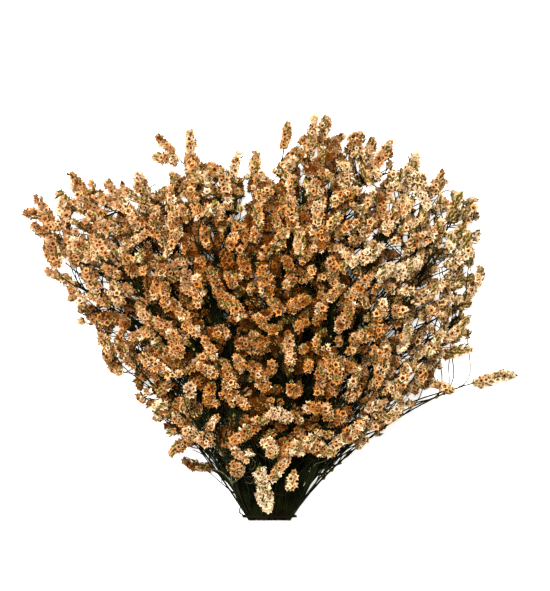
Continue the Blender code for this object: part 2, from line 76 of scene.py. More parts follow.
@dataclass(frozen=True)
class Neck:
    """How the main stems leave the cut and reach their tips.

    The tips are listed row by row from the lowest, each from left to right: across, along, up.
    """

    pitch: float = 3.35
    row_rise: float = 3.2
    lowest_row: float = 2.85
    stem_radius: float = 1.2
    root_radius: float = 1.65
    apex: float = 24.0
    lift: float = 0.45
    straight: float = 0.36
    sweep: float = 0.22
    above_row: float = 1.0
    focus: Place = (0.0, 20.0, 12.0)
    focus_stray: float = 0.35
    droop: float = -0.05
    tries: int = 160
    stray: float = 9.0
    most_stray: float = 1.8
    stray_steps: int = 20
    tips: tuple[tuple[Place, ...], ...] = (
        ((-66, 44, 9), (-100, 98, 12), (-143, 164, 10), (-178, 222, 14), (-112, 232, 12),
         (30, 288, 16), (118, 246, 14), (150, 166, 10), (112, 102, 12)),
        ((-78, 72, 34), (-124, 131, 30), (-168, 184, 36), (-150, 262, 40), (-98, 260, 52),
         (-60, 293, 44), (14, 299, 42), (68, 291, 46), (154, 242, 40), (168, 116, 34)),
        ((-84, 104, 74), (-132, 206, 72), (-122, 254, 66), (-24, 276, 74), (34, 304, 72),
         (91, 283, 76), (110, 276, 60), (142, 246, 76), (160, 190, 66), (106, 102, 66)),
        ((-62, 70, 112), (-84, 150, 118), (-52, 196, 126), (-30, 112, 138), (-4, 190, 140),
         (14, 138, 142), (46, 196, 132), (78, 226, 104), (84, 160, 116), (62, 84, 112)),
    )

    @property
    def middle(self) -> float:
        """The height of the cut's middle."""
        return self.lowest_row + (len(self.tips) - 1) / 2 * self.row_rise

    def slots(self) -> Iterator[tuple[np.ndarray, np.ndarray]]:
        """The stems' cut ends row by row, each with its tip.

        Returns:
            Pairs of the cut end and the tip.
        """
        for row, tips in enumerate(self.tips):
            for i, tip in enumerate(tips):
                across = (i - (len(tips) - 1) / 2) * self.pitch
                slot = np.array((across, 0.0, self.lowest_row + row * self.row_rise))
                yield slot, np.array(tip, float)


@dataclass(frozen=True)
class Head:
    """The head's dome, and its outline from above as its reach from the apex at each azimuth."""

    apex: float = 24.0
    outline: tuple[Span, ...] = (
        (-44, 70), (-41, 95), (-39, 240), (-35, 310), (-28, 318), (-22, 300), (-16, 290),
        (-11, 308), (-5, 290), (1, 286), (4, 312), (9, 322), (16, 318), (25, 310), (31, 302),
        (35, 278), (38, 254), (41, 236), (43, 216), (44.5, 60),
    )
    width: Span = (-185.0, 175.0)
    length: Span = (24.0, 305.0)
    middle: Span = (0.0, 160.0)
    core: Place = (0.0, 110.0, 40.0)
    rim: float = 34.0
    rise: float = 114.0
    edge_step: float = 6.0
    starts: float = 58.0
    neck_clear: float = 100.0

    def holds(self, point: Sequence[float]) -> bool:
        """True if a point lies inside the outline, seen from above.

        Args:
            point: The point, of which only across and along are read.

        Returns:
            Whether it is inside.
        """
        x, y = point[0], point[1] + self.apex
        azimuths, reaches = zip(*self.outline)
        reach = np.interp(math.degrees(math.atan2(x, y)), azimuths, reaches, left=0.0, right=0.0)
        return math.hypot(x, y) < reach

    def holds_inside(self, point: Sequence[float], share: float) -> bool:
        """True if a point lies inside the outline when that is shrunk to a share of its size."""
        middle = self.middle
        return self.holds([middle[i] + (point[i] - middle[i]) / share for i in range(2)])

    def top(self, x: float, y: float) -> float:
        """The height of the domed upper side over a point of the table.

        Args:
            x: The point across.
            y: The point along.

        Returns:
            The height.
        """
        middle = np.array(self.middle)
        offset = np.array((x, y)) - middle
        far = np.linalg.norm(offset)
        edge = far
        while self.holds(middle + offset / far * edge):
            edge += self.edge_step
        return self.rim + self.rise * math.sqrt(max(0.0, 1.0 - (far / edge) ** 2))


@dataclass(frozen=True)
class Growth:
    """How flower spikes are sized, headed and spaced, and how their branchlets may run."""

    count: int = 204
    length: Span = (18.0, 36.0)
    radius: Span = (5.8, 7.8)
    headings: Place = (0.5, 0.75, 0.85)
    shell_depth: float = 44.0
    spread: Place = (1.0, 1.0, 0.35)
    clearance: float = 0.7
    own_clearance: float = 0.8
    floor_gap: float = 0.6
    tries: int = 14
    reach: Span = (10.0, 84.0)
    lowest: float = 1.6
    bend: float = 72.0
    lean: float = 0.35
    lead: float = 0.38
    arrival: float = 0.36
    lean_price: float = 1.9
    crowd_price: float = 7.0
    fork_tries: int = 8
    low_share: float = 0.17
    low_gap: float = 2.0
    low_top: float = 44.0
    flatness: Place = (1.0, 1.0, 0.6)
    probes: Place = (0.15, 0.5, 0.85)
    inner: float = 1.0


@dataclass(frozen=True)
class Accents:
    """Spikes listed one by one: those of the outline, and the low ones that carry the bunch."""

    outline: tuple[tuple[Place, Place, float], ...] = (
        ((-1, 11, 106), (0.22, -1.0, -0.1), 33), ((-77, 48, 60), (-0.8, -0.6, 0.0), 28),
        ((-52, 54, 96), (-0.6, -0.8, 0.1), 24), ((-183, 233, 46), (-0.9, 0.3, 0.2), 22),
        ((-176, 244, 30), (-0.6, 0.8, 0.1), 20), ((-84, 289, 48), (-0.7, 0.7, 0.0), 18),
        ((-90, 276, 58), (-1.0, 0.2, 0.0), 18), ((-55, 272, 70), (0.1, 1.0, 0.1), 22),
        ((-9, 277, 56), (0.2, 1.0, 0.1), 20), ((43, 302, 50), (0.3, 1.0, 0.1), 22),
        ((49, 287, 84), (0.0, 1.0, 0.3), 24), ((78, 287, 36), (0.3, 1.0, 0.0), 24),
        ((122, 264, 64), (0.5, 0.9, 0.1), 24), ((132, 256, 44), (0.7, 0.7, 0.1), 22),
        ((156, 213, 52), (1.0, 0.3, 0.1), 24), ((152, 200, 30), (1.0, 0.4, 0.0), 22),
        ((150, 130, 52), (1.0, 0.2, 0.1), 24), ((137, 99, 44), (0.8, -0.3, 0.1), 18),
        ((90, 78, 84), (0.8, -0.5, 0.0), 22), ((76, 64, 40), (0.7, -0.5, 0.0), 20),
        ((-28, 60, 122), (-0.7, -0.6, 0.3), 30), ((20, 62, 122), (0.6, 0.9, 0.1), 34),
    )
    outline_radius: float = 6.2
    outline_stray: float = 6.0
    most_stray: float = 1.5
    stray_steps: int = 12
    rests: tuple[Place, ...] = (
        (-118, 176, 150), (112, 150, 20), (-52, 232, 110),
        (70, 226, 70), (-58, 96, 215), (64, 88, 320),
    )
    rest_radius: float = 6.2
    rest_length: float = 26.0
    rest_sink: float = 0.66
    rest_stray: float = 8.0


@dataclass
class Spike:
    """One flower spike: where it starts, which way it points, and its size."""

    base: np.ndarray
    way: np.ndarray
    length: float
    radius: float

    @property
    def tip(self) -> np.ndarray:
        """The spike's far end."""
        return self.base + self.way * self.length

    def at(self, share: float) -> np.ndarray:
        """The point of the spike's axis at a share of its length."""
        return self.base + self.way * (self.length * share)


@dataclass
class Twig:
    """A branchlet, as a cubic curve's four points, and the spike that it carries."""

    curve: Curve
    spike: Spike
    fork: float = 0.5


@dataclass
class Spray:
    """A main stem as a cubic curve, the spike at its end and its branchlets."""

    curve: Curve
    spike: Spike
    twigs: list[Twig] = field(default_factory=list)

    @property
    def spikes(self) -> list[Spike]:
        """All the spray's spikes."""
        return [self.spike, *(twig.spike for twig in self.twigs)]


def unit(vector: np.ndarray) -> np.ndarray:
    """The vector at length one."""
    return vector / np.linalg.norm(vector)


def along(curve: Curve, t: float) -> np.ndarray:
    """The point of a cubic curve at t, from 0 to 1."""
    (a, b, c, d), s = curve, 1.0 - t
    return a * s**3 + b * (3 * t * s * s) + c * (3 * t * t * s) + d * t**3


def heading(curve: Curve, t: float) -> np.ndarray:
    """The direction of a cubic curve at t."""
    (a, b, c, d), s = curve, 1.0 - t
    return unit((b - a) * (s * s) + (c - b) * (2 * s * t) + (d - c) * (t * t))


def points_along(curve: Curve, count: int) -> list[np.ndarray]:
    """Evenly stepped points of a cubic curve, both ends included."""
    return [along(curve, i / (count - 1)) for i in range(count)]


def random_way(rng: Random) -> np.ndarray:
    """A random direction, even over the sphere.

    Args:
        rng: The draws.

    Returns:
        The direction.
    """
    up = rng.uniform(-1.0, 1.0)
    turn = rng.uniform(0.0, math.tau)
    flat = math.sqrt(1.0 - up * up)
    return np.array((flat * math.cos(turn), flat * math.sin(turn), up))


def random_shift(rng: Random, most: float) -> np.ndarray:
    """A random shift of up to most each way."""
    return np.array([rng.uniform(-most, most) for _ in range(3)])


def held(value: float) -> float:
    """A value held between 0 and 1."""
    return min(1.0, max(0.0, value))


def gaps_between(p0: np.ndarray, p1: np.ndarray, q0: np.ndarray, q1: np.ndarray) -> np.ndarray:
    """The least distance from one straight piece to each of several others.

    Args:
        p0: The piece's start.
        p1: The piece's end.
        q0: The others' starts, one a row.
        q1: The others' ends, one a row.

    Returns:
        The distances.
    """
    u, v, w = p1 - p0, q1 - q0, p0 - q0
    a, b, c = u @ u, v @ u, (v * v).sum(1)
    d, e = w @ u, (v * w).sum(1)
    s = np.clip((b * e - c * d) / np.maximum(a * c - b * b, PARALLEL), 0.0, 1.0)
    t = np.clip((b * s + e) / c, 0.0, 1.0)
    s = np.clip((b * t - d) / a, 0.0, 1.0)
    return np.linalg.norm(w + s[:, None] * u - t[:, None] * v, axis=1)


class Thicket:
    """Every stem, branchlet and spike placed so far, as straight pieces with a radius."""

    MOST_PIECES = 12000
    LONGEST_PIECE = 40.0

    def __init__(self) -> None:
        """Makes room for the pieces."""
        self.start = np.zeros((self.MOST_PIECES, 3))
        self.end = np.zeros((self.MOST_PIECES, 3))
        self.radius = np.zeros(self.MOST_PIECES)
        self.owner = np.zeros(self.MOST_PIECES, int)
        self.count = 0

    def add(self, points: Sequence[np.ndarray], radius: float, owner: int) -> None:
        """Adds a run of straight pieces that belongs to a spray.

        Args:
            points: The run's points.
            radius: Its radius.
            owner: The spray's number.
        """
        for p, q in zip(points, points[1:]):
            i = self.count
            self.start[i], self.end[i] = p, q
            self.radius[i], self.owner[i] = radius, owner
            self.count += 1

    def clear(self, points: Sequence[np.ndarray], radius: float, owner: int, is_spike: bool,
              growth: Growth) -> bool:
        """True if a run keeps its distance from other sprays, and a spike from its own too.

        Args:
            points: The run's points.
            radius: Its radius.
            owner: The spray that it would belong to.
            is_spike: Whether it is a spike.
            growth: The rules that give the distance.

        Returns:
            Whether there is room.
        """
        n = self.count
        other = self.owner[:n] != owner
        near = np.ones(n, bool) if is_spike else other
        for p, q in zip(points, points[1:]):
            reach = np.linalg.norm(q - p) / 2 + radius + self.LONGEST_PIECE
            close = near & (np.abs(self.start[:n] - (p + q) / 2).max(1) < reach)
            if not close.any():
                continue
            gap = gaps_between(p, q, self.start[:n][close], self.end[:n][close])
            room = self.radius[:n][close] + radius
            room = np.where(other[close], room + growth.clearance, room * growth.own_clearance)
            if (gap < room).any():
                return False
        return True


@dataclass
class Bunch:
    """The layout of the whole bunch, grown step by step in the order of its random draws."""

    neck: Neck = field(default_factory=Neck)
    head: Head = field(default_factory=Head)
    growth: Growth = field(default_factory=Growth)
    accents: Accents = field(default_factory=Accents)
    stem_rings: int = 10
    twig_rings: int = 4
    run_points: int = 6
    twig_radius: float = 0.62
    fork_span: Span = (0.2, 0.94)
    forks: int = 18
    rounds: int = 2
    box_share: float = 0.8

    def __post_init__(self) -> None:
        """Starts the random draws and the empty bunch."""
        self.rng = Random(SEED)
        self.thicket = Thicket()
        self.sprays: list[Spray] = []
        self.fork_places: list[tuple[np.ndarray, np.ndarray]] = []

    def grow_all(self) -> None:
        """Lays the stems, the spikes placed by hand and those that fill the head."""
        self.lay_stems()
        self.lay_rests()
        self.lay_outline()
        self.fill_up(self.growth, self.growth.count)

    def thicken(self, growth: Growth) -> None:
        """Adds finer spikes between those placed, until there are as many as the growth counts."""
        self.fill_up(growth, self.spike_count() + growth.count)

    def fill_up(self, growth: Growth, goal: int) -> None:
        """Grows spikes in the emptiest places until the bunch holds enough.

        Args:
            growth: The spikes' sizes and rules.
            goal: How many spikes the bunch should hold in all.
        """
        for _ in range(self.rounds * growth.count):
            if self.spike_count() < goal:
                self.fill(growth)

    def spike_count(self) -> int:
        """How many spikes are placed."""
        return sum(len(spray.spikes) for spray in self.sprays)

    def on_stem(self, curve: Curve, t: float) -> np.ndarray:
        """The point at t on a stem as its plain solid is built, from straight pieces.

        Args:
            curve: The stem's curve.
            t: The share of its length.

        Returns:
            The point.
        """
        place = t * (self.stem_rings - 1)
        i = min(int(place), self.stem_rings - 2)
        low, high = (along(curve, k / (self.stem_rings - 1)) for k in (i, i + 1))
        return low + (high - low) * (place - i)

    def stem_curve(self, slot: np.ndarray, tip: np.ndarray, way: np.ndarray) -> Curve:
        """A stem's curve from its slot in the neck, out along the fan and into its end spike.

        Args:
            slot: The cut end.
            tip: Where the end spike starts.
            way: Which way that spike points.

        Returns:
            The curve's four points.
        """
        neck = self.neck
        reach = np.linalg.norm(tip - slot)
        lift = max(0.0, (tip[2] - neck.middle) / reach) * neck.lift
        start = unit(np.array((slot[0] / neck.apex, 1.0, lift)))
        last = tip - way * (neck.sweep * reach)
        last[2] = max(last[2], neck.lowest_row + neck.above_row)
        return (slot, slot + start * (neck.straight * reach), last, tip)

    def propose_stem(self, slot: np.ndarray, tip: np.ndarray, stray: float) -> Spray:
        """A stem from its slot to about its tip, with a spike at its end.

        Args:
            slot: The cut end.
            tip: About where the end spike's tip is.
            stray: How far it may stray, as a share of the neck's measure.

        Returns:
            The spray.
        """
        neck, growth, rng = self.neck, self.growth, self.rng
        tip = tip + random_shift(rng, neck.stray) * stray
        way = unit(unit(tip - np.array(neck.focus)) + neck.focus_stray * random_way(rng))
        way[2] = max(way[2], neck.droop)
        way = unit(way)
        length, radius = rng.uniform(*growth.length), rng.uniform(*growth.radius)
        base = tip - way * length
        base[2] = max(base[2], radius + growth.floor_gap)
        return Spray(self.stem_curve(slot, base, way), Spike(base, way, length, radius))

    def lay_stems(self) -> None:
        """Lays the main stems with their end spikes, each clear of those before it if it can be."""
        neck, growth = self.neck, self.growth
        for i, (slot, tip) in enumerate(neck.slots()):
            for attempt in range(neck.tries):
                stray = min(neck.most_stray, attempt / neck.stray_steps)
                spray = self.propose_stem(slot, tip, stray)
                spike = spray.spike
                stem, head = points_along(spray.curve, self.stem_rings), [spike.base, spike.tip]
                free = self.thicket.clear(stem, neck.stem_radius, i, False, growth)
                if free and self.thicket.clear(head, spike.radius, i, True, growth):
                    break
            self.thicket.add(stem, neck.stem_radius, i)
            self.thicket.add(head, spike.radius, i)
            self.sprays.append(spray)
            shares = np.linspace(*self.fork_span, self.forks)
            places = np.array([self.on_stem(spray.curve, t) for t in shares])
            self.fork_places.append((places, np.array([heading(spray.curve, t) for t in shares])))

    def lay_rests(self) -> None:
        """Lays the low spikes that carry the bunch, lying level."""
        accents = self.accents
        height = accents.rest_sink * accents.rest_radius
        for x, y, turn in accents.rests:
            angle = math.radians(turn)
            way = np.array((math.cos(angle), math.sin(angle), 0.0))
            for attempt in range(self.growth.tries):
                shift = random_shift(self.rng, accents.rest_stray) * (1.0, 1.0, 0.0)
                middle = np.array((x, y, height)) + shift * min(1, attempt)
                base = middle - way * accents.rest_length / 2
                if self.grow(Spike(base, way, accents.rest_length, accents.rest_radius)):
                    break

    def lay_outline(self) -> None:
        """Lays the spikes that give the bunch its outline, each as near its place as it fits."""
        accents = self.accents
        for tip, way, length in accents.outline:
            way = unit(np.array(way, float))
            for attempt in range(self.neck.tries):
                shift = random_shift(self.rng, accents.outline_stray)
                shift *= min(accents.most_stray, attempt / accents.stray_steps)
                base = np.array(tip) - way * length + shift
                if self.grow(Spike(base, way, length, accents.outline_radius)):
                    break

    def fill(self, growth: Growth) -> None:
        """Grows one more spike where the head is emptiest, out of a few that would fit.

        Args:
            growth: The spike's sizes and rules.
        """
        best, most = None, -1.0
        placed = [spike for spray in self.sprays for spike in spray.spikes]
        taken = np.array([spike.at(share) for spike in placed for share in growth.probes])
        for _ in range(growth.tries):
            spike = self.propose_spike(growth)
            if spike is None:
                continue
            room = np.linalg.norm((taken - spike.at(0.5)) * growth.spread, axis=1).min()
            if room > most:
                found = self.find_fork(spike, growth)
                if found:
                    best, most = (found, spike), room
        if best:
            self.attach(*best)

    def propose_spike(self, growth: Growth) -> Spike | None:
        """A spike at a random place in the head's shell.

        Args:
            growth: The spike's sizes and rules.

        Returns:
            The spike, or None if it would leave the outline.
        """
        rng, head = self.rng, self.head
        x, y = rng.uniform(*head.width), rng.uniform(*head.length)
        if not head.holds((x, y)) or not head.holds_inside((x, y), growth.inner):
            return None
        radius = rng.uniform(*growth.radius)
        if rng.random() < growth.low_share:
            z = rng.uniform(radius + growth.low_gap, growth.low_top)
        else:
            z = head.top(x, y) - rng.uniform(0.0, growth.shell_depth)
        if y < head.starts and z < head.neck_clear:
            return None
        middle = np.array((x, y, z))
        outward = unit(middle - np.array(head.core))
        away = unit(middle * growth.flatness + (0.0, head.apex, 0.0))
        mix = zip(growth.headings, (outward, away, random_way(rng)))
        way = unit(sum(share * part for share, part in mix))
        length = rng.uniform(*growth.length)
        spike = Spike(middle - way * length / 2, way, length, radius)
        lowest = min(spike.base[2], spike.tip[2])
        inside = head.holds(spike.base) and head.holds(spike.tip)
        return spike if inside and lowest >= radius + growth.floor_gap else None

    def grow(self, spike: Spike) -> bool:
        """Joins a spike to a stem if a branchlet can reach it.

        Args:
            spike: The spike.

        Returns:
            Whether it did.
        """
        found = self.find_fork(spike, self.growth)
        if found:
            self.attach(found, spike)
        return bool(found)

    def find_fork(self, spike: Spike, growth: Growth) -> tuple[int, float, Curve] | None:
        """The spray, the fork and the branchlet's curve that carry a spike clear of all else.

        Args:
            spike: The spike.
            growth: Its rules.

        Returns:
            The spray's number, the fork's share of its stem and the curve, or None.
        """
        choices = []
        shares = np.linspace(*self.fork_span, self.forks)
        for i, (places, headings) in enumerate(self.fork_places):
            gaps = spike.base - places
            fars = np.linalg.norm(gaps, axis=1)
            leans = (gaps * headings).sum(1) / fars
            fit = (growth.reach[0] < fars) & (fars < growth.reach[1]) & (leans > growth.lean)
            prices = fars * (growth.lean_price - leans)
            prices += growth.crowd_price * len(self.sprays[i].twigs)
            choices += [(prices[k], i, shares[k]) for k in np.flatnonzero(fit)]
        choices.sort()
        ends = [spike.base, spike.tip]
        if not choices or not self.thicket.clear(ends, spike.radius, NO_SPRAY, True, growth):
            return None
        for _, i, t in choices[:growth.fork_tries]:
            curve = self.twig_curve(self.sprays[i].curve, t, spike, growth)
            run = points_along(curve, self.run_points)
            if self.twig_fits(curve, run, spike, growth) and self.thicket.clear(
                    run, self.twig_radius, i, False, growth):
                return i, t, curve
        return None

    def twig_curve(self, stem: Curve, t: float, spike: Spike, growth: Growth) -> Curve:
        """A branchlet's curve: along the stem at its fork, and along the spike at its end.

        Args:
            stem: The stem's curve.
            t: The fork's share of the stem.
            spike: The spike that it carries.
            growth: The spike's rules.

        Returns:
            The curve's four points.
        """
        fork = self.on_stem(stem, t)
        reach = np.linalg.norm(spike.base - fork)
        lead = fork + heading(stem, t) * (growth.lead * reach)
        return (fork, lead, spike.base - spike.way * (growth.arrival * reach), spike.base)

    def twig_fits(self, curve: Curve, run: Sequence[np.ndarray], spike: Spike,
                  growth: Growth) -> bool:
        """True if a branchlet stays off the table and beside its own spike, and bends gently.

        Args:
            curve: The branchlet's curve.
            run: Points along it.
            spike: The spike that it carries.
            growth: The spike's rules.

        Returns:
            Whether it does.
        """
        beside = gaps_between(spike.base, spike.tip, np.array(run[:-2]), np.array(run[1:-1]))
        lowest = min(p[2] for p in run)
        if beside.min() < spike.radius + self.twig_radius or lowest < growth.lowest:
            return False
        points = points_along(curve, self.twig_rings)
        ways = [unit(q - p) for p, q in zip(points, points[1:])] + [spike.way]
        straightest = min(a @ b for a, b in zip(ways, ways[1:]))
        return straightest > math.cos(math.radians(growth.bend))

    def attach(self, found: tuple[int, float, Curve], spike: Spike) -> None:
        """Adds a branchlet and its spike to a spray.

        Args:
            found: The spray's number, the fork's share of its stem and the branchlet's curve.
            spike: The spike.
        """
        i, fork, curve = found
        self.sprays[i].twigs.append(Twig(curve, spike, fork))
        self.thicket.add(points_along(curve, self.run_points), self.twig_radius, i)
        self.thicket.add([spike.base, spike.tip], spike.radius, i)

    def middle(self) -> np.ndarray:
        """The middle of the bunch's box on the table, from its spikes and its cut.

        Returns:
            The point.
        """
        low, high = np.zeros(2), np.zeros(2)
        for spike in (spike for spray in self.sprays for spike in spray.spikes):
            side = spike.radius * self.box_share * np.sqrt(1.0 - spike.way[:2] ** 2)
            for end in (spike.base[:2], spike.tip[:2]):
                low, high = np.minimum(low, end - side), np.maximum(high, end + side)
        return np.array((*(low + high) / 2, 0.0))


@dataclass(frozen=True)
class Cloud:
    """A cloudy pattern: how many clouds to a metre, and how finely broken they are."""

    scale: float
    detail: float = 2.0


@dataclass(frozen=True)
class Relief:
    """Fine bumps: their pattern, how strongly they show and their depth in metres."""

    cloud: Cloud
    strength: float
    depth: float


class Expr:
    """A number that changes over a surface, with Python's operators as Math nodes."""

    def __init__(self, graph: Graph, socket: bpy.types.NodeSocket) -> None:
        """Wraps an output socket of a graph's node."""
        self.graph = graph
        self.socket = socket

    def _math(self, operation: str, *values: Expr | float) -> Expr:
        """Adds a Math node and gives its output."""
        return self.graph.node("ShaderNodeMath", {"operation": operation}, list(values))

    def __add__(self, other: Expr | float) -> Expr:
        """The sum."""
        return self._math("ADD", self, other)

    def __sub__(self, other: Expr | float) -> Expr:
        """The difference."""
        return self._math("SUBTRACT", self, other)

    def __rsub__(self, other: float) -> Expr:
        """The difference from a number."""
        return self._math("SUBTRACT", other, self)

    def __mul__(self, other: Expr | float) -> Expr:
        """The product."""
        return self._math("MULTIPLY", self, other)

    __radd__ = __add__

    def clamped(self) -> Expr:
        """The value held between 0 and 1."""
        return self._math("MINIMUM", self._math("MAXIMUM", self, 0.0), 1.0)

    def step(self, low: float, high: float) -> Expr:
        """A smooth step from 0 at low to 1 at high.

        Args:
            low: Where it starts.
            high: Where it ends.

        Returns:
            The step.
        """
        settings = {"interpolation_type": "SMOOTHSTEP"}
        values = {"Value": self, "From Min": low, "From Max": high}
        return self.graph.node("ShaderNodeMapRange", settings, values)


class Graph:
    """A material's node graph round its Principled shader."""

    def __init__(self, name: str) -> None:
        """Makes the material.

        Args:
            name: Its name.
        """
        self.material = bpy.data.materials.new(name)
        self.material.use_nodes = True
        self.tree = self.material.node_tree
        self.shader = self.tree.nodes["Principled BSDF"]

    def node(self, kind: str, settings: dict | None = None, values: dict | list | None = None,
             output: str | int = 0) -> Expr:
        """Adds a node.

        Args:
            kind: The node's type.
            settings: Its settings.
            values: Values or links of its sockets, by name or in order.
            output: Which output is wanted.

        Returns:
            The output.
        """
        node = self.tree.nodes.new(kind)
        for key, value in (settings or {}).items():
            setattr(node, key, value)
        pairs = values.items() if isinstance(values, dict) else enumerate(values or [])
        for key, value in pairs:
            self.feed(node.inputs[key], value)
        return Expr(self, node.outputs[output])

    def feed(self, socket: bpy.types.NodeSocket, value: Expr | float | Sequence[float]) -> None:
        """Links an expression to a socket, or sets its value.

        Args:
            socket: The socket.
            value: The expression or value.
        """
        if isinstance(value, Expr):
            self.tree.links.new(value.socket, socket)
        else:
            socket.default_value = value

    def attribute(self, name: str) -> Expr:
        """A number that the piece's points hold under a name."""
        return self.node("ShaderNodeAttribute", {"attribute_name": name}, output="Fac")

    def place(self) -> Expr:
        """The object's own coordinates."""
        return self.node("ShaderNodeTexCoord", output="Object")

    def far(self) -> Expr:
        """The distance in metres from the object's origin."""
        return self.node("ShaderNodeVectorMath", {"operation": "LENGTH"}, [self.place()], "Value")

    def noise(self, cloud: Cloud) -> Expr:
        """A cloudy pattern from 0 to 1 on the object's own coordinates."""
        values = {"Vector": self.place(), "Scale": cloud.scale, "Detail": cloud.detail}
        return self.node("ShaderNodeTexNoise", None, values)

    def mix(self, factor: Expr | float, first: Expr | Sequence[float],
            second: Expr | Sequence[float]) -> Expr:
        """A colour between two others.

        Args:
            factor: 0 for the first, 1 for the second.
            first: A colour.
            second: A colour.

        Returns:
            The mixed colour.
        """
        node = self.tree.nodes.new("ShaderNodeMix")
        node.data_type = "RGBA"
        self.feed(node.inputs["Factor"], factor)
        for name, colour in (("A", first), ("B", second)):
            socket = next(s for s in node.inputs if s.name == name and s.type == "RGBA")
            self.feed(socket, colour if isinstance(colour, Expr) else (*colour, 1.0))
        return Expr(self, next(s for s in node.outputs if s.type == "RGBA"))

    def roughen(self, relief: Relief) -> None:
        """Gives the surface its fine bumps.

        Args:
            relief: The bumps.
        """
        values = {"Strength": relief.strength, "Distance": relief.depth,
                  "Height": self.noise(relief.cloud)}
        self.feed(self.shader.inputs["Normal"], self.node("ShaderNodeBump", None, values))

    def finish(self, colour: Expr, roughness: Expr | float, gloss: float) -> bpy.types.Material:
        """Sets the shader's colour, roughness and gloss.

        Args:
            colour: The base colour.
            roughness: The roughness.
            gloss: The level of its mirror light.

        Returns:
            The material.
        """
        values = {"Base Color": colour, "Roughness": roughness, "Specular IOR Level": gloss}
        for name, value in values.items():
            self.feed(self.shader.inputs[name], value)
        return self.material


@dataclass(frozen=True)
class PetalFinish:
    """Dry papery florets: cream or orange limbs, a tan ring and a dark throat.

    Warmth, depth and shade turn the cream to honey, and shade and grain turn that to the ring's
    colour. This is partly painted shade: the warmth and shade attributes carry the spikes' painted
    shade, and the limb turns honey deeper in the funnel as if shaded there. The ring, the throat
    and the dark husk below each set in over a span of depth; the husk's darkness is partly painted
    contact shade under each floret.
    """

    cream: Colour = (0.59, 0.455, 0.25)
    honey: Colour = (0.54, 0.188, 0.021)
    rose: Colour = (0.54, 0.265, 0.105)
    bleached: Colour = (0.73, 0.63, 0.43)
    ring: Colour = (0.080, 0.018, 0.0013)
    throat: Colour = (0.020, 0.005, 0.0015)
    husk_and_shade: Colour = (0.055, 0.019, 0.004)
    grain: Cloud = Cloud(900.0, 3.0)
    relief: Relief = Relief(Cloud(2600.0), 0.35, 0.0002)
    honey_by_warmth: float = 0.76
    honey_by_depth: float = 1.5
    honey_by_shade: float = 0.35
    honey_from: float = 0.10
    brown_by_shade: float = 1.15
    brown_by_grain: float = 0.7
    brown_from: float = 0.48
    brown_loss: float = 0.8
    ring_span: Span = (0.15, 0.48)
    ring_most: float = 0.98
    ring_loss: float = 0.35
    ring_blur: float = 0.3
    throat_span: Span = (0.6, 0.74)
    throat_blur: float = 0.1
    husk_and_shade_span: Span = (0.25, 0.9)
    roughness: float = 0.9

    def material(self) -> bpy.types.Material:
        """Builds the material, which reads how deep a point lies in its floret and the tints.

        Returns:
            The material.
        """
        g = Graph("papery_florets")
        depth, shade = g.attribute("depth"), g.attribute("shade")
        warm, pale = g.attribute("warm"), g.attribute("pale")
        grain = g.noise(self.grain)
        # Partly painted shade: the limb turns honey deeper in the funnel and with the shaded warmth
        honeyed = warm * self.honey_by_warmth + depth * self.honey_by_depth
        honeyed = honeyed + shade * self.honey_by_shade - self.honey_from
        limb = g.mix(honeyed.clamped(), self.cream, self.honey)
        limb = g.mix(g.attribute("rose"), limb, self.rose)
        limb = g.mix(pale, limb, self.bleached)
        # Partly painted shade: shade holds each floret's random tone plus its spike's painted shade
        browned = shade * self.brown_by_shade + grain * self.brown_by_grain - self.brown_from
        limb = g.mix(browned.clamped() * (1.0 - pale * self.brown_loss), limb, self.ring)
        heart = (depth + (grain - 0.5) * self.ring_blur).step(*self.ring_span)
        colour = g.mix(heart * (self.ring_most - pale * self.ring_loss), limb, self.ring)
        pit = (depth + (grain - 0.5) * self.throat_blur).step(*self.throat_span)
        colour = g.mix(pit, colour, self.throat)
        # Partly painted shade: the husk under each floret is dark, as in contact shade
        colour = g.mix((0.0 - depth).step(*self.husk_and_shade_span), colour, self.husk_and_shade)
        g.roughen(self.relief)
        return g.finish(colour, self.roughness, 0.0)


@dataclass(frozen=True)
class BractFinish:
    """Small scales that cup the florets: olive green to brown, with a pale dry edge."""

    olive: Colour = (0.090, 0.082, 0.010)
    brown: Colour = (0.045, 0.018, 0.003)
    edge: Colour = (0.36, 0.27, 0.085)
    grain: Cloud = Cloud(700.0, 3.0)
    relief: Relief = Relief(Cloud(1800.0), 0.3, 0.0002)
    brown_by_shade: float = 0.9
    brown_by_grain: float = 0.5
    edge_blur: float = 0.3
    edge_span: Span = (0.62, 0.98)
    roughness: float = 0.8
    gloss: float = 0.04

    def material(self) -> bpy.types.Material:
        """Builds the material, which reads each scale's shade and where its edge lies.

        Returns:
            The material.
        """
        g = Graph("bract_scales")
        grain = g.noise(self.grain)
        browned = g.attribute("shade") * self.brown_by_shade + grain * self.brown_by_grain
        body = g.mix(browned.clamped(), self.olive, self.brown)
        edge = (g.attribute("depth") + grain * self.edge_blur).step(*self.edge_span)
        g.roughen(self.relief)
        return g.finish(g.mix(edge, body, self.edge), self.roughness, self.gloss)


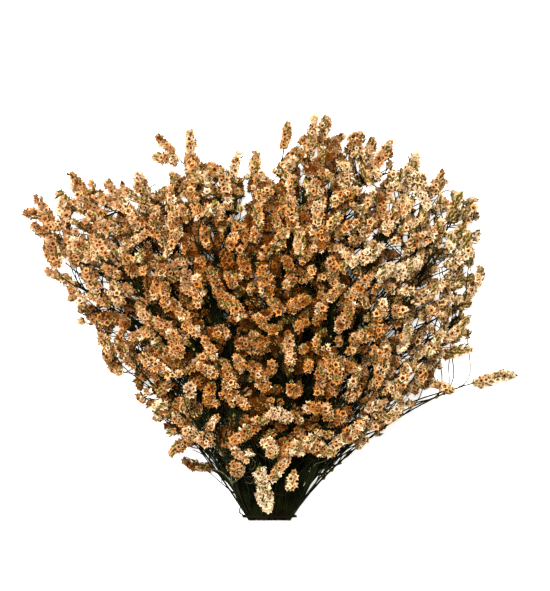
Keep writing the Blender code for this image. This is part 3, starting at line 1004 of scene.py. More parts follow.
@dataclass(frozen=True)
class StalkFinish:
    """Thin dry stalks: near-black green, olive where they are sound, brown where they are not."""

    dark: Colour = (0.003, 0.004, 0.0012)
    olive: Colour = (0.011, 0.014, 0.003)
    brown: Colour = (0.013, 0.006, 0.002)
    curl: Colour = (0.105, 0.106, 0.040)
    patches: Cloud = Cloud(46.0, 3.0)
    patch_span: Span = (0.42, 0.66)
    blemishes: Cloud = Cloud(120.0)
    blemish_span: Span = (0.56, 0.72)
    relief: Relief = Relief(Cloud(1500.0, 3.0), 0.5, 0.0003)
    wear: Cloud = Cloud(300.0)
    least_rough: float = 0.66
    rough_range: float = 0.25
    gloss: float = 0.02

    def material(self) -> bpy.types.Material:
        """Builds the material from cloudy patches; the curled twigs' pale attribute lightens it.

        Returns:
            The material.
        """
        g = Graph("dry_stalks")
        colour = g.mix(g.noise(self.patches).step(*self.patch_span), self.dark, self.olive)
        colour = g.mix(g.noise(self.blemishes).step(*self.blemish_span), colour, self.brown)
        colour = g.mix(g.attribute("pale"), colour, self.curl)
        g.roughen(self.relief)
        roughness = self.least_rough + g.noise(self.wear) * self.rough_range
        return g.finish(colour, roughness, self.gloss)


@dataclass(frozen=True)
class CordFinish:
    """The tie's dark natural fibre."""

    fibre: Colour = (0.004, 0.003, 0.0015)
    worn: Colour = (0.012, 0.008, 0.004)
    hairs: Cloud = Cloud(2200.0, 4.0)
    worn_span: Span = (0.35, 0.75)
    strength: float = 0.6
    depth: float = 0.0002
    roughness: float = 0.9
    gloss: float = 0.08

    def material(self) -> bpy.types.Material:
        """Builds the material from fine fibre noise.

        Returns:
            The material.
        """
        g = Graph("tie_fibre")
        colour = g.mix(g.noise(self.hairs).step(*self.worn_span), self.fibre, self.worn)
        g.roughen(Relief(self.hairs, self.strength, self.depth))
        return g.finish(colour, self.roughness, self.gloss)


@dataclass(frozen=True)
class TableFinish:
    """The plain white table, which glows faintly outside the middle of the bunch."""

    white: Colour = (0.94, 0.94, 0.935)
    dulled: Colour = (0.9353, 0.9353, 0.930325)
    clouds: Cloud = Cloud(3.0)
    cloud_span: Span = (0.3, 0.7)
    dark: Colour = (0.0, 0.0, 0.0)
    # Painted light: the table's glow washes out the bunch's shadows on it
    glow: Colour = (0.68, 0.67, 0.645)
    glow_span: Span = (0.05, 0.12)
    roughness: float = 0.9
    gloss: float = 0.1

    def material(self) -> bpy.types.Material:
        """Builds the material.

        Returns:
            The material.
        """
        g = Graph("white_table")
        colour = g.mix(g.noise(self.clouds).step(*self.cloud_span), self.white, self.dulled)
        # Painted light: emission outside the middle hides the shadows cast on the table
        glow = g.mix(g.far().step(*self.glow_span), self.dark, self.glow)
        g.feed(g.shader.inputs["Emission Color"], glow)
        g.feed(g.shader.inputs["Emission Strength"], 1.0)
        return g.finish(colour, self.roughness, self.gloss)


class FloretForm(Enum):
    """The forms that a dry floret takes: its rim's radius, its depth and its lobes' ruffle."""

    OPEN = (1.0, 1.25, 0.14)
    RUFFLED = (0.94, 1.35, 0.28)
    CUPPED = (0.78, 1.50, 0.18)


@dataclass
class FloretTemplates:
    """Florets to copy: five-lobed papery funnels with a deep throat, one unit across the radius.

    Each points along +Z with its base at -Z. The depth attribute is 0 on the rim, 1 in the pit
    of the throat and -1 at the base.
    """

    lobes: int = 5
    kinds_each: int = 3
    notch: float = 0.76
    lobe: float = 1.16
    notch_drop: float = 0.6
    foot: float = 0.2
    ring_share: float = 0.46
    ring_level: float = -0.16
    ring_sag: Span = (0.0, 0.5)
    ring_depth: float = 0.5
    pit: float = 0.62
    rim_stray: Span = (0.86, 1.14)
    ruffle_stray: Span = (0.4, 1.6)
    rng: Random = field(default_factory=lambda: Random(SEED + 1))

    def make(self) -> list[bpy.types.Mesh]:
        """Builds every form in a few ruffles."""
        return [self.floret(form) for form in FloretForm for _ in range(self.kinds_each)]

    @staticmethod
    def outside_in(bm: bmesh.types.BMesh) -> list[bmesh.types.BMVert]:
        """The points by how far out they lie, rim first, and in order round each ring."""
        return sorted(bm.verts, key=lambda v: (-round(v.co.xy.length, 2), math.atan2(v.co.y, v.co.x)))

    def floret(self, form: FloretForm) -> bpy.types.Mesh:
        """One floret.

        Args:
            form: The form that it takes.

        Returns:
            Its mesh.
        """
        wide, deep, ruffle = form.value
        bm = bmesh.new()
        count = 2 * self.lobes
        bmesh.ops.create_cone(bm, cap_ends=True, cap_tris=False, segments=count,
                              radius1=self.foot, radius2=wide, depth=deep)
        bmesh.ops.translate(bm, verts=bm.verts, vec=(0.0, 0.0, -deep / 2))
        base = [v for v in bm.verts if v.co.z < -deep / 2]
        bmesh.ops.pointmerge(bm, verts=base, merge_co=(0.0, 0.0, -deep))
        limb = max(bm.faces, key=lambda face: len(face.verts))
        bmesh.ops.inset_individual(bm, faces=[limb], thickness=wide * (1.0 - self.ring_share))
        limb = max(bm.faces, key=lambda face: len(face.verts))
        bmesh.ops.poke(bm, faces=[limb])
        ring = self.outside_in(bm)[count:2 * count]
        for first, second in zip(ring[::2], ring[1::2]):
            middle = (first.co + second.co) / 2
            bmesh.ops.pointmerge(bm, verts=[first, second], merge_co=middle)
        depth = bm.verts.layers.float.new("depth")
        verts = self.outside_in(bm)
        for i, vert in enumerate(verts[:count]):
            vert.co *= (self.lobe if i % 2 else self.notch) * self.rng.uniform(*self.rim_stray)
            lift = ruffle if i % 2 else -self.notch_drop * ruffle
            vert.co.z = lift * self.rng.uniform(*self.ruffle_stray)
        for vert in verts[count:-2]:
            vert.co.z = self.ring_level - ruffle * self.rng.uniform(*self.ring_sag)
            vert[depth] = self.ring_depth
        base, pit = sorted(verts[-2:], key=lambda vert: vert.co.z)
        pit.co.z = -self.pit * deep
        pit[depth] = 1.0
        base[depth] = -1.0
        bmesh.ops.triangulate(bm, faces=bm.faces)
        bmesh.ops.recalc_face_normals(bm, faces=bm.faces)
        return finished(bm, "floret", PETAL_SLOT)


def finished(bm: bmesh.types.BMesh, name: str, slot: int = 0) -> bpy.types.Mesh:
    """Makes a mesh of a bmesh and frees it.

    Args:
        bm: The bmesh.
        name: The mesh's name.
        slot: The material slot of its faces.

    Returns:
        The mesh.
    """
    for face in bm.faces:
        face.material_index = slot
    mesh = bpy.data.meshes.new(name)
    bm.to_mesh(mesh)
    bm.free()
    return mesh


@dataclass
class BractTemplate:
    """A small pointed scale to copy, one unit long along +Z and hollowed towards +X."""

    width: float = 0.34
    thickness: float = 0.07
    curl: float = 0.16
    merge: float = 0.001
    arch: float = 0.8
    point: float = 0.6
    pale_by_width: float = 0.8
    pale_by_height: float = 0.4

    def make(self) -> bpy.types.Mesh:
        """Builds the scale.

        Returns:
            Its mesh.
        """
        bm = bmesh.new()
        bmesh.ops.create_cone(bm, cap_ends=True, cap_tris=False, segments=4,
                              radius1=1.0, radius2=0.0, depth=self.point)
        bmesh.ops.remove_doubles(bm, verts=bm.verts, dist=self.merge)
        bmesh.ops.translate(bm, verts=bm.verts, vec=(0.0, 0.0, 1.0 - self.point / 2))
        foot = max(bm.faces, key=lambda face: len(face.verts))
        middle = bmesh.ops.poke(bm, faces=[foot])["verts"][0]
        middle.co = (0.0, 0.0, 0.0)
        depth = bm.verts.layers.float.new("depth")
        for vert in bm.verts:
            across, up = vert.co.y, vert.co.z
            vert[depth] = held(abs(across) * self.pale_by_width + up * self.pale_by_height)
            hollow = self.curl * (1.0 - (2.0 * self.arch * up - self.arch) ** 2)
            vert.co.x = vert.co.x * self.thickness + hollow
            vert.co.y = across * self.width
        bmesh.ops.triangulate(bm, faces=bm.faces)
        bmesh.ops.recalc_face_normals(bm, faces=bm.faces)
        return finished(bm, "bract", BRACT_SLOT)


def frame_on(way: np.ndarray, turn: float) -> tuple[np.ndarray, np.ndarray]:
    """Two directions across a way, turned round it.

    Args:
        way: The way.
        turn: The turn in radians.

    Returns:
        The two directions.
    """
    hint = ACROSS if abs(way[2]) > STEEP else UP
    side = unit(np.cross(way, hint))
    other = np.cross(way, side)
    first = side * math.cos(turn) + other * math.sin(turn)
    return first, other * math.cos(turn) - side * math.sin(turn)


def placed(origin: np.ndarray, z_way: np.ndarray, x_hint: np.ndarray, size: float) -> Matrix:
    """The transform that stands a template at a point.

    Args:
        origin: The point.
        z_way: Where its +Z goes.
        x_hint: About where its +X goes.
        size: The scale.

    Returns:
        The transform.
    """
    x_way = unit(x_hint - z_way * (x_hint @ z_way))
    y_way = np.cross(z_way, x_way)
    rotation = Matrix(np.column_stack((x_way, y_way, z_way)).tolist()).to_4x4()
    return Matrix.Translation(Vector(origin)) @ rotation @ Matrix.Scale(size, 4)


@dataclass(frozen=True)
class Tint:
    """How one spike looks: its colours from 0 to 1, if its back is turned and if it is full."""

    warm: float
    rose: float
    pale: float
    # darkening: mostly painted shade from the spike's depth and the heart; the dusky spike's is set
    # outright
    darkening: float
    turned: bool = False
    full: bool = False


@dataclass
class Palette:
    """How the colour wanders: deep orange in the middle, rosier at the left, paler at the right.

    The hero is the pale spike in front of the neck, and one spike of the top edge is dusky.
    Spikes deep under the dome, and those near the heart, get painted shade: warmer and darker.
    """

    hero: Place = (-1.0, 11.0, 106.0)
    hero_room: float = 14.0
    hero_pale: float = 0.45
    dusky: Span = (49.0, 287.0)
    dusky_room: float = 9.0
    dusky_looks: tuple[float, float, float, float] = (0.4, 0.3, 0.0, 0.6)
    heart: Span = (5.0, 150.0)
    half_width: float = 180.0
    buried: float = 36.0
    warmest: float = 0.98
    warm_loss: float = 0.85
    warm_loss_right: float = 0.22
    warm_stray: Span = (-0.3, 0.3)
    # Painted shade: spikes deep under the dome turn warmer, as petals look in shade
    shade_warmth_deep: float = 0.45
    shade_warmth_loss_right: float = 0.8
    rose_left: float = 0.8
    rose_stray: Span = (-0.35, 0.25)
    faded: Span = (0.2, 0.5)
    faded_chance: float = 0.06
    faded_right: float = 0.12
    # Painted shade: how spikes darken deep under the dome and near the heart
    painted_shade_deep: float = 0.9
    painted_shade_power: float = 1.3
    painted_shade_least: float = 0.25
    painted_shade_from: float = 1.6
    painted_shade_loss: float = 1.5
    painted_shade_loss_right: float = 0.9
    painted_shade_heart: float = 0.3
    painted_shade_heart_loss: float = 1.8
    far_right: float = 0.74
    turned_chance: float = 0.45
    rng: Random = field(default_factory=lambda: Random(SEED + 2))

    def tint(self, spike: Spike, head: Head) -> Tint:
        """The colour of a spike by its place.

        Args:
            spike: The spike.
            head: The head, which tells how deep it lies.

        Returns:
            Its tint.
        """
        x, y, z = spike.at(0.5)
        rng = self.rng
        far = math.hypot(x - self.heart[0], y - self.heart[1]) / self.half_width
        right = max(0.0, x / self.half_width)
        warm = self.warmest - self.warm_loss * far - self.warm_loss_right * right
        warm += rng.uniform(*self.warm_stray)
        rose = -self.rose_left * x / self.half_width + rng.uniform(*self.rose_stray)
        fades = rng.random() < self.faded_chance + self.faded_right * right
        pale = rng.uniform(*self.faded) if fades else 0.0
        depth = held((head.top(x, y) - z) / self.buried)
        # Painted shade: deeper spikes turn warmer and more saturated, as if shaded
        warm += self.shade_warmth_deep * depth * (1.0 - self.shade_warmth_loss_right * right)
        # Painted shade: spikes deep under the dome, and near the heart, are darkened
        inner = min(1.0, max(self.painted_shade_least, self.painted_shade_from - self.painted_shade_loss * far))
        darkening = self.painted_shade_deep * depth**self.painted_shade_power * inner * (1.0 - self.painted_shade_loss_right * right)
        darkening += self.painted_shade_heart * max(0.0, 1.0 - self.painted_shade_heart_loss * far)
        full = np.linalg.norm(spike.tip - np.array(self.hero)) < self.hero_room
        if full:
            warm, rose, pale, darkening = 0.0, 0.0, self.hero_pale, 0.0
        if np.linalg.norm(spike.tip[:2] - np.array(self.dusky)) < self.dusky_room:
            warm, rose, pale, darkening = self.dusky_looks
        turned = right > self.far_right and rng.random() < self.turned_chance
        return Tint(held(warm), held(rose), pale, held(darkening), turned, full)


@dataclass
class SpikeDresser:
    """Sets true-size florets and scales round a spike's axis, the florets on its outward side."""

    floret_radius: Span = (2.05, 3.15)
    density: float = 0.40
    fewest: int = 5
    skin: float = 1.0
    golden: float = math.radians(137.508)
    face_lift: float = 0.5
    face_stray: float = 0.35
    face_share: float = 0.76
    reach: float = 0.95
    jitter: Span = (0.1, 0.9)
    girth_share: Span = (0.56, 0.86)
    edge_reach: float = 1.5
    edge_share: float = 0.82
    full_share: float = 0.86
    blunt: float = 0.42
    swell_from: float = 0.14
    swell_span: float = 0.70
    swell_power: float = 0.8
    crown_from: float = 0.9
    most_bow: float = 0.09
    waves: Span = (1.0, 2.2)
    wave_height: Span = (0.08, 0.28)
    lean: Span = (0.2, 0.6)
    tip_lean: float = 0.9
    floret_stray: float = 0.36
    tip_size: float = 0.8
    mouth: Span = (0.72, 1.2)
    shade: Span = (0.32, 0.26)
    # Painted shade: how far a spike's darkening darkens each floret's shade
    shade_by_darkening: float = 0.7
    warm_stray: float = 0.28
    # Painted shade and light: warmth of florets facing down, paleness of those facing up
    facing_shade_warmth: float = 0.9
    facing_lit_share: float = 0.2
    bleach_chance: float = 0.15
    bleach: Span = (0.3, 0.9)
    bract_length: Span = (4.0, 6.0)
    bract_every: int = 5
    bract_inner: float = 0.42
    bract_outer: float = 0.7
    bract_open: Span = (0.25, 0.6)
    bract_stray: float = 0.12
    collar: int = 3
    collar_place: float = -0.02
    collar_radius: float = 0.5
    rng: Random = field(default_factory=lambda: Random(SEED + 3))

    def __post_init__(self) -> None:
        """Makes the templates."""
        self.florets = FloretTemplates().make()
        self.bract = BractTemplate().make()

    def dress(self, bm: bmesh.types.BMesh, spike: Spike, tint: Tint, head: Head) -> None:
        """Adds a spike's florets and scales to a spray.

        Args:
            bm: The spray's bmesh, in the layout's millimetres.
            spike: The spike.
            tint: Its colour.
            head: The head, which tells the outward side.
        """
        rng, way = self.rng, spike.way
        outward = unit(spike.at(0.5) - np.array(head.core)) + self.face_lift * UP
        outward = outward + self.face_stray * random_way(rng)
        face = unit(outward - way * (outward @ way)) * (-1 if tint.turned else 1)
        side = np.cross(way, face)
        girth_share = rng.uniform(*self.girth_share)
        if tint.full:
            girth_share = self.full_share
        elif not head.holds(spike.at(self.edge_reach)):
            girth_share *= self.edge_share
        count = spike.length * (spike.radius * girth_share + self.skin) * self.density
        count = max(self.fewest, round(count))
        bow = spike.length * rng.uniform(0.0, self.most_bow)
        start = rng.uniform(0.0, math.tau)
        waves, phase = rng.uniform(*self.waves), rng.uniform(0.0, math.tau)
        height = rng.uniform(*self.wave_height)
        for k in range(count):
            share = self.reach * (k + rng.uniform(*self.jitter)) / count
            turn = (start + k * self.golden + math.pi) % math.tau - math.pi
            radial = face * math.cos(turn) + side * math.sin(turn)
            middle = spike.at(share) - face * (bow * (2.0 * share - 1.0) ** 2)
            swell = 1.0 + height * math.sin(phase + waves * math.tau * share)
            girth = spike.radius * girth_share * self.taper(share) * swell
            if abs(turn) < math.pi * self.face_share or share > self.crown_from:
                self.add_floret(bm, middle, radial, way, girth, share, tint)
            else:
                self.add_bract(bm, middle + radial * girth * self.bract_inner, radial, way)
            if k % self.bract_every == 0:
                self.add_bract(bm, middle + radial * girth * self.bract_outer, radial, way)
        for k in range(self.collar):
            radial = frame_on(way, start + k * math.tau / self.collar)[0]
            foot = spike.at(self.collar_place) + radial * self.collar_radius
            self.add_bract(bm, foot, radial, way)

    def taper(self, share: float) -> float:
        """A spike's girth along its length: quickly full, blunt at the tip."""
        swell = math.sin(math.pi * (self.swell_from + self.swell_span * share))
        return self.blunt + (1.0 - self.blunt) * swell**self.swell_power

    def add_floret(self, bm: bmesh.types.BMesh, middle: np.ndarray, radial: np.ndarray,
                   way: np.ndarray, girth: float, share: float, tint: Tint) -> None:
        """Adds one floret.

        Args:
            bm: The spray's bmesh.
            middle: The point of the axis that it grows from.
            radial: Straight out from the axis there.
            way: Along the axis.
            girth: How far its mouth stands from the axis.
            share: Where it is along the spike.
            tint: The spike's colour.
        """
        rng = self.rng
        lean = rng.uniform(*self.lean) + self.tip_lean * share**4
        stray = self.floret_stray * random_way(rng)
        out = unit(radial * math.cos(lean) + way * math.sin(lean) + stray)
        size = rng.uniform(*self.floret_radius)
        size *= self.tip_size + (1.0 - self.tip_size) * self.taper(share)
        mouth = middle + out * girth * rng.uniform(*self.mouth)
        turned = placed(mouth, out, random_way(rng), size)
        # The spike's darkening, mostly painted shade, darkens the floret's random shade
        shade = held(rng.gauss(*self.shade) + self.shade_by_darkening * tint.darkening)
        # Painted shade and light: florets facing down turn warmer, as if shaded; those facing up paler,
        # as if lit
        hidden = 0.5 - 0.5 * out[2]
        warm = tint.warm + rng.gauss(0.0, self.warm_stray) + self.facing_shade_warmth * (hidden - self.facing_lit_share)
        pale = rng.uniform(*self.bleach) if rng.random() < self.bleach_chance else tint.pale
        own = Tint(held(warm), tint.rose, pale * (1.0 - tint.darkening), tint.darkening)
        self.add(bm, rng.choice(self.florets), turned, shade, own)

    def add_bract(self, bm: bmesh.types.BMesh, foot: np.ndarray, radial: np.ndarray,
                  way: np.ndarray) -> None:
        """Adds one scale that lies against the axis and points to the tip.

        Args:
            bm: The spray's bmesh.
            foot: Where it starts.
            radial: Straight out from the axis there.
            way: Along the axis.
        """
        rng = self.rng
        up = unit(way + radial * rng.uniform(*self.bract_open) + self.bract_stray * random_way(rng))
        turned = placed(foot, up, radial, rng.uniform(*self.bract_length))
        self.add(bm, self.bract, turned, rng.random(), Tint(0.0, 0.0, 0.0, 0.0))

    @staticmethod
    def add(bm: bmesh.types.BMesh, template: bpy.types.Mesh, turned: Matrix, shade: float,
            tint: Tint) -> None:
        """Adds a copy of a template with its colours.

        Args:
            bm: The spray's bmesh.
            template: The template.
            turned: Its transform.
            shade: How dark it is, from 0 to 1.
            tint: Its colour.
        """
        copy = template.copy()
        copy.transform(turned)
        join(bm, copy, shade=shade, warm=tint.warm, rose=tint.rose, pale=tint.pale)


def join(bm: bmesh.types.BMesh, mesh: bpy.types.Mesh, **values: float) -> None:
    """Moves a mesh into a bmesh with the same values on all its points.

    Args:
        bm: The bmesh.
        mesh: The mesh, which is used up.
        values: The values by attribute.
    """
    for name, value in values.items():
        layer = mesh.attributes.new(name, "FLOAT", "POINT")
        layer.data.foreach_set("value", [value] * len(mesh.vertices))
    bm.from_mesh(mesh)
    bpy.data.meshes.remove(mesh)


def linked(name: str, data: bpy.types.ID) -> bpy.types.Object:
    """Puts a mesh, curve, lamp or camera into the scene.

    Args:
        name: The object's name.
        data: What it holds.

    Returns:
        The object.
    """
    thing = bpy.data.objects.new(name, data)
    bpy.context.scene.collection.objects.link(thing)
    return thing


def swept(paths: list[Path], rounding: int, joined: bool) -> bpy.types.Mesh:
    """Sweeps a circle along paths.

    Args:
        paths: The paths.
        rounding: How finely round the circle is.
        joined: Whether each path's ends meet, or are capped.

    Returns:
        The mesh.
    """
    curve = bpy.data.curves.new("stalks", "CURVE")
    curve.dimensions = "3D"
    curve.bevel_depth = 1.0
    curve.bevel_resolution = rounding
    curve.use_fill_caps = not joined
    for path in paths:
        spline = curve.splines.new("POLY")
        spline.points.add(len(path) - 1)
        spline.use_cyclic_u = joined
        for point, (place, radius) in zip(spline.points, path):
            point.co = (*place, 1.0)
            point.radius = radius
    holder = linked("stalks", curve)
    bpy.context.view_layer.update()
    graph = bpy.context.evaluated_depsgraph_get()
    mesh = bpy.data.meshes.new_from_object(holder.evaluated_get(graph), depsgraph=graph)
    bpy.data.objects.remove(holder)
    bpy.data.curves.remove(curve)
    mesh.materials.clear()
    return mesh


def settled(mesh: bpy.types.Mesh, shift: np.ndarray, materials: Sequence[bpy.types.Material],
            name: str) -> bpy.types.Object:
    """Shifts and scales a mesh from the layout into the frame, and makes it a piece.

    Args:
        mesh: The mesh.
        shift: The middle of the bunch's box in the layout.
        materials: Its finishes by slot; a spray's are its stalks', bracts' and petals'.
        name: The piece's name.

    Returns:
        The piece.
    """
    mesh.transform(Matrix.Scale(MM, 4) @ Matrix.Translation(-Vector(shift)))
    for material in materials:
        mesh.materials.append(material)
    return linked(name, mesh)


@dataclass
class StalkMaker:
    """Makes a spray's round stalks from paths, as one tube mesh."""

    root_radius: float = 0.80
    end_radius: float = 0.50
    flare: float = 1.6
    twig_radius: float = 0.46
    twig_end: float = 0.34
    companion_radius: float = 0.54
    companions: int = 12
    stem_points: int = 16
    twig_points: int = 8
    fewest_points: int = 4
    axis_shares: Place = (0.3, 0.6, 0.9)
    axis_thinning: float = 0.6
    neck_offset: Span = (0.9, 2.1)
    neck_stray: float = 0.6
    wander: Span = (4.0, 17.0)
    wander_way: Place = (1.0, 0.3, 0.8)
    inner_pull: float = 75.0
    off_table: float = 0.1
    rng: Random = field(default_factory=lambda: Random(SEED + 4))

    def paths(self, spray: Spray, neck_middle: np.ndarray) -> list[Path]:
        """Every stalk of a spray: the stem, thinner stems beside it, and the branchlets.

        Args:
            spray: The spray.
            neck_middle: The middle of the cut.

        Returns:
            The paths, each a list of points with their radii.
        """
        result = [self.stem_path(spray)]
        rising = sorted(spray.twigs, key=lambda twig: -twig.fork)
        for i, twig in enumerate(rising):
            if i % 2 == 0 and i < 2 * self.companions:
                result.append(self.companion_path(spray, twig, neck_middle))
            else:
                result.append(self.twig_path(twig))
        return result

    def stem_path(self, spray: Spray) -> Path:
        """The main stem, on through its end spike.

        Args:
            spray: Its spray.

        Returns:
            The path.
        """
        path = []
        for i, point in enumerate(points_along(spray.curve, self.stem_points)):
            share = i / (self.stem_points - 1)
            radius = self.end_radius + (self.root_radius - self.end_radius) * (1.0 - share) ** self.flare
            path.append((point, radius))
        return path + self.axis(spray.spike, self.end_radius)

    def axis(self, spike: Spike, radius: float) -> Path:
        """The stalk inside a spike, which thins out before its tip."""
        return [(spike.at(share), radius * (1.0 - self.axis_thinning * share))
                for share in self.axis_shares]

    def twig_path(self, twig: Twig) -> Path:
        """A branchlet from its fork, on through its spike.

        Args:
            twig: The branchlet.

        Returns:
            The path.
        """
        path = []
        for i, point in enumerate(points_along(twig.curve, self.twig_points)):
            share = i / (self.twig_points - 1)
            path.append((point, self.twig_radius + (self.twig_end - self.twig_radius) * share))
        return path + self.axis(twig.spike, self.twig_end)

    def companion_path(self, spray: Spray, twig: Twig, neck_middle: np.ndarray) -> Path:
        """A thin stem that starts in the neck, keeps beside the main one and ends in a branchlet.

        Args:
            spray: The spray.
            twig: The branchlet that it ends in.
            neck_middle: The middle of the cut.

        Returns:
            The path.
        """
        rng = self.rng
        inward = unit(neck_middle - spray.curve[0] + NUDGE) + self.neck_stray * random_way(rng)
        start = unit(inward * (1.0, 0.0, 1.0)) * rng.uniform(*self.neck_offset)
        inner = np.array((-spray.curve[3][0] / self.inner_pull, 0.0, 0.0))
        sway = (random_way(rng) * self.wander_way + inner) * rng.uniform(*self.wander)
        count = max(self.fewest_points, round(self.stem_points * twig.fork))
        path = []
        for i in range(count):
            share = i / count
            offset = start * (1.0 - share) + sway * math.sin(math.pi * share)
            point = along(spray.curve, share * twig.fork) + offset
            point[2] = max(point[2], self.companion_radius + self.off_table)
            path.append((point, self.companion_radius))
        return path + self.twig_path(twig)

    def tubes(self, paths: list[Path]) -> bpy.types.Mesh:
        """Makes closed round tubes along the paths.

        Args:
            paths: The paths.

        Returns:
            The tubes' mesh.
        """
        mesh = swept(paths, rounding=0, joined=False)
        bm = bmesh.new()
        bm.from_mesh(mesh)
        bmesh.ops.remove_doubles(bm, verts=bm.verts, dist=DOUBLE)
        bmesh.ops.recalc_face_normals(bm, faces=bm.faces)
        bm.to_mesh(mesh)
        bm.free()
        mesh.shade_smooth()
        return mesh


@dataclass
class LooseTwigs:
    """Hair-thin twigs without flowers that leave a spray's stem."""

    tries: int
    radius: float
    length: Span
    curl: Span
    turns: Span
    fork_span: Span
    sway: float
    rise: float
    lowest: float
    rng: Random
    points: int = 12
    inner: float = 0.97
    thick_root: float = 1.25
    thinning: float = 0.6

    def paths(self, spray: Spray, head: Head) -> list[Path]:
        """A spray's loose twigs.

        Args:
            spray: The spray.
            head: The head, whose outline they keep inside.

        Returns:
            The paths.
        """
        paths = [self.path(spray) for _ in range(self.tries)]
        return [path for path in paths if self.fits(path, head)]

    def fits(self, path: Path, head: Head) -> bool:
        """True if a path stays above its lowest level, inside the outline and under the dome.

        Args:
            path: The path.
            head: The head, with its outline and dome.

        Returns:
            Whether it does.
        """
        inside = all(point[2] > self.lowest and head.holds_inside(point, self.inner)
                     for point, _ in path)
        x, y, z = path[-1][0]
        return inside and z < head.top(x, y)

    def path(self, spray: Spray) -> Path:
        """One twig that forks from the stem and bends on its way.

        Args:
            spray: The spray.

        Returns:
            Its path.
        """
        rng = self.rng
        t = rng.uniform(*self.fork_span)
        way = unit(heading(spray.curve, t) + self.sway * random_way(rng) + self.rise * UP)
        side, other = frame_on(way, rng.uniform(0.0, math.tau))
        length, curl = rng.uniform(*self.length), rng.uniform(*self.curl)
        turns = rng.uniform(*self.turns) * math.tau
        start = along(spray.curve, t)
        path = []
        for i in range(self.points):
            share = i / (self.points - 1)
            bent = side * math.sin(turns * share) + other * (1.0 - math.cos(turns * share))
            point = start + way * (length * share) + bent * (curl * share)
            path.append((point, self.radius * (self.thick_root - self.thinning * share)))
        return path


def curls() -> LooseTwigs:
    """The curly olive twigs about the lower stems.

    Returns:
        Their rules.
    """
    return LooseTwigs(tries=14, radius=0.36, length=(20.0, 50.0), curl=(2.5, 8.0),
                      turns=(0.5, 1.4), fork_span=(0.05, 0.36), sway=0.6, rise=0.9, lowest=30.0,
                      rng=Random(SEED + 5))


def bare_twigs() -> LooseTwigs:
    """The dark twigs that fill the bunch between its spikes.

    Returns:
        Their rules.
    """
    return LooseTwigs(tries=26, radius=0.42, length=(24.0, 70.0), curl=(1.0, 6.0),
                      turns=(0.2, 0.6), fork_span=(0.3, 0.97), sway=0.7, rise=0.0, lowest=1.0,
                      rng=Random(SEED + 6))


@dataclass
class SprayMaker:
    """Makes each spray's fine piece in place of its plain solid."""

    bunch: Bunch
    shift: np.ndarray
    materials: tuple[bpy.types.Material, ...]
    stalks: StalkMaker = field(default_factory=StalkMaker)
    dresser: SpikeDresser = field(default_factory=SpikeDresser)
    curls: LooseTwigs = field(default_factory=curls)
    bare: LooseTwigs = field(default_factory=bare_twigs)
    palette: Palette = field(default_factory=Palette)

    def make(self, number: int, spray: Spray) -> bpy.types.Object:
        """Builds one spray.

        Args:
            number: Its number, from 1.
            spray: Its layout.

        Returns:
            The piece.
        """
        head = self.bunch.head
        paths = self.stalks.paths(spray, np.array((0.0, 0.0, self.bunch.neck.middle)))
        paths += self.bare.paths(spray, head)
        curls = self.curls.paths(spray, head)
        bm = bmesh.new()
        for name in ("depth", "shade", "warm", "rose", "pale"):
            bm.verts.layers.float.new(name)
        join(bm, self.stalks.tubes(paths), pale=0.0)
        if curls:
            join(bm, self.stalks.tubes(curls), pale=1.0)
        for spike in spray.spikes:
            self.dresser.dress(bm, spike, self.palette.tint(spike, head), head)
        for twig in spray.twigs:
            fork_way = heading(spray.curve, twig.fork)
            radial = unit(twig.curve[1] - twig.curve[0] + NUDGE * UP)
            self.dresser.add_bract(bm, along(spray.curve, twig.fork), radial, fork_way)
        for vert in bm.verts:
            vert.co.z = max(vert.co.z, 0.0)
        name = f"spray_{number:02d}"
        mesh = bpy.data.meshes.new(name + "_fine")
        bm.to_mesh(mesh)
        bm.free()
        piece = settled(mesh, self.shift, self.materials, name + "_fine")
        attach(piece, "root")
        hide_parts(name)
        return piece


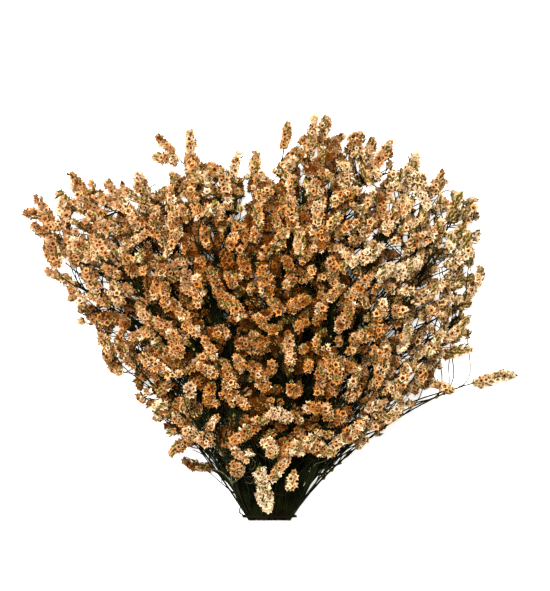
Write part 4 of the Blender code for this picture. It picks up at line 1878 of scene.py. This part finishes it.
@dataclass
class Tie:
    """The tie: two turns of a dark two-strand cord that hug the neck."""

    neck: Neck
    shift: np.ndarray
    cord: float = 1.1
    turns: int = 2
    lap: float = 0.8
    place: float = 2.6
    room: float = 0.3
    side_room: float = 0.3
    top_room: float = 2.0
    corner: float = 4.0
    corner_points: int = 8
    strands: int = 2
    strand_share: float = 0.56
    lay: float = 3.4
    steps: int = 150

    def outline(self) -> np.ndarray:
        """Points round the neck, across and up: a rectangle with round corners.

        Returns:
            The points, one a row.
        """
        neck = self.neck
        spread = 1.0 + (self.place + self.cord) / neck.apex
        room = neck.root_radius + self.room + self.cord / 2
        widest = max(len(tips) for tips in neck.tips)
        half_wide = (widest - 1) / 2 * neck.pitch * spread + room + self.side_room
        half_high = ((len(neck.tips) - 1) * neck.row_rise + self.top_room) / 2 + room
        points = []
        for quarter, (side, level) in enumerate(((1, 1), (-1, 1), (-1, -1), (1, -1))):
            centre_x = (half_wide - self.corner) * side
            centre_z = (half_high - self.corner) * level
            for step in range(self.corner_points):
                angle = math.pi / 2 * (quarter + step / (self.corner_points - 1))
                rise = centre_z + self.corner * math.sin(angle)
                across = centre_x + self.corner * math.cos(angle)
                points.append((across, half_high + self.cord / 2 + rise))
        return np.array(points)

    def strand(self, along_neck: float, phase: float) -> Path:
        """One strand of one turn, wound about the turn's middle line.

        Args:
            along_neck: How far from the cut the turn lies.
            phase: The strand's place in the twist, in radians.

        Returns:
            The strand's points and radii.
        """
        outline = self.outline()
        closed = np.vstack((outline, outline[:1]))
        lengths = np.linalg.norm(np.diff(closed, axis=0), axis=1)
        reach = np.concatenate(([0.0], np.cumsum(lengths)))
        twists = round(reach[-1] / self.lay)
        middle = outline.mean(axis=0)
        radius = self.cord / 2 * self.strand_share
        path = []
        for i in range(self.steps):
            place = reach[-1] * i / self.steps
            x, z = (np.interp(place, reach, closed[:, axis]) for axis in (0, 1))
            out = unit(np.array((x - middle[0], z - middle[1])))
            angle = phase + math.tau * twists * i / self.steps
            swing = self.cord / 2 - radius
            offset = swing * math.cos(angle)
            point = np.array((x + out[0] * offset, along_neck + swing * math.sin(angle),
                              z + out[1] * offset))
            path.append((point, radius))
        return path

    def make(self, material: bpy.types.Material) -> bpy.types.Object:
        """Builds the tie.

        Args:
            material: Its finish.

        Returns:
            The piece.
        """
        places = [self.place + turn * self.cord * self.lap for turn in range(self.turns)]
        phases = [math.tau * strand / self.strands for strand in range(self.strands)]
        paths = [self.strand(place, phase) for place in places for phase in phases]
        mesh = swept(paths, rounding=1, joined=True)
        mesh.shade_smooth()
        piece = settled(mesh, self.shift, [material], "tie_fine")
        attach(piece, "root")
        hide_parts("tie")
        return piece


@dataclass
class Studio:
    """A white table, soft light and a camera that looks straight down."""

    table_size: float = 8.0
    sky: float = 0.46
    sky_colour: Colour = (1.0, 0.92, 0.80)
    key_place: Place = (-0.22, 0.3, 2.2)
    key_size: float = 0.6
    key_power: float = 120.0
    aim: Span = (0.0037, 0.0175)
    pixel: float = 0.00075
    image_width: int = 550
    distance: float = 5.0
    focus_height: float = 0.05

    def make_table(self) -> None:
        """Lays the table."""
        bm = bmesh.new()
        bmesh.ops.create_grid(bm, x_segments=1, y_segments=1, size=self.table_size / 2)
        mesh = finished(bm, "table")
        mesh.materials.append(TableFinish().material())
        table = linked("table", mesh)

    def make_lights(self) -> None:
        """Sets the sky and a large soft lamp above the heads."""
        world = bpy.data.worlds.new("studio")
        world.use_nodes = True
        sky = world.node_tree.nodes["Background"]
        sky.inputs["Color"].default_value = (*self.sky_colour, 1.0)
        sky.inputs["Strength"].default_value = self.sky
        bpy.context.scene.world = world
        data = bpy.data.lights.new("key", "AREA")
        data.size = self.key_size
        data.energy = self.key_power
        lamp = linked("key", data)
        lamp.location = self.key_place
        lamp.rotation_euler = (-Vector(self.key_place)).to_track_quat("-Z", "Y").to_euler()

    def make_camera(self) -> None:
        """Hangs the camera over the bunch."""
        data = bpy.data.cameras.new("camera")
        data.sensor_fit = "HORIZONTAL"
        width = self.pixel * self.image_width
        data.lens = data.sensor_width * (self.distance - self.focus_height) / width
        camera = linked("camera", data)
        camera.location = (*self.aim, self.distance)
        bpy.context.scene.camera = camera


SMALL = Growth(
    count=335, length=(8.0, 25.0), radius=(3.4, 5.8), headings=(0.45, 0.25, 1.3), inner=0.93,
    shell_depth=50.0, clearance=-1.8, own_clearance=0.5, reach=(6.0, 70.0), lowest=1.0,
    bend=85.0, lean=0.2, fork_tries=6, tries=12,
)
DEEP = replace(
    SMALL, count=222, length=(16.0, 28.0), radius=(4.5, 6.5), headings=(0.1, 0.4, 1.0),
    inner=0.74, low_share=1.0, low_top=70.0, reach=(6.0, 90.0),
)
TINY = replace(
    SMALL, count=240, length=(3.5, 8.0), radius=(2.2, 3.4), headings=(0.5, 0.5, 1.0), inner=1.0,
    shell_depth=40.0, clearance=-0.6, own_clearance=0.4, reach=(5.0, 50.0), bend=90.0,
)


def main() -> None:
    """Builds the bunch, piece by piece, on its table."""
    logging.basicConfig(level=logging.INFO, format="%(name)s: %(message)s")
    bunch = Bunch()
    bunch.grow_all()
    shift = bunch.middle()
    LOG.info("laid out %d spikes on %d sprays", bunch.spike_count(), len(bunch.sprays))
    for growth in (DEEP, SMALL, TINY):
        bunch.thicken(growth)
    LOG.info("thickened to %d spikes", bunch.spike_count())
    materials = (StalkFinish().material(), BractFinish().material(), PetalFinish().material())
    maker = SprayMaker(bunch, shift, materials)
    pieces = []
    for number, spray in enumerate(bunch.sprays, 1):
        pieces.append(maker.make(number, spray))
        LOG.info("%s has %d faces", pieces[-1].name, len(pieces[-1].data.polygons))
    tie = Tie(bunch.neck, shift).make(CordFinish().material())
    LOG.info("%s has %d faces", tie.name, len(tie.data.polygons))
    total = sum(len(piece.data.loops) - 2 * len(piece.data.polygons) for piece in [*pieces, tie])
    LOG.info("%d triangles in all", total)
    studio = Studio()
    studio.make_table()
    studio.make_lights()
    studio.make_camera()
    bpy.context.scene.view_settings.view_transform = "Standard"


if __name__ == "__main__":
    main()
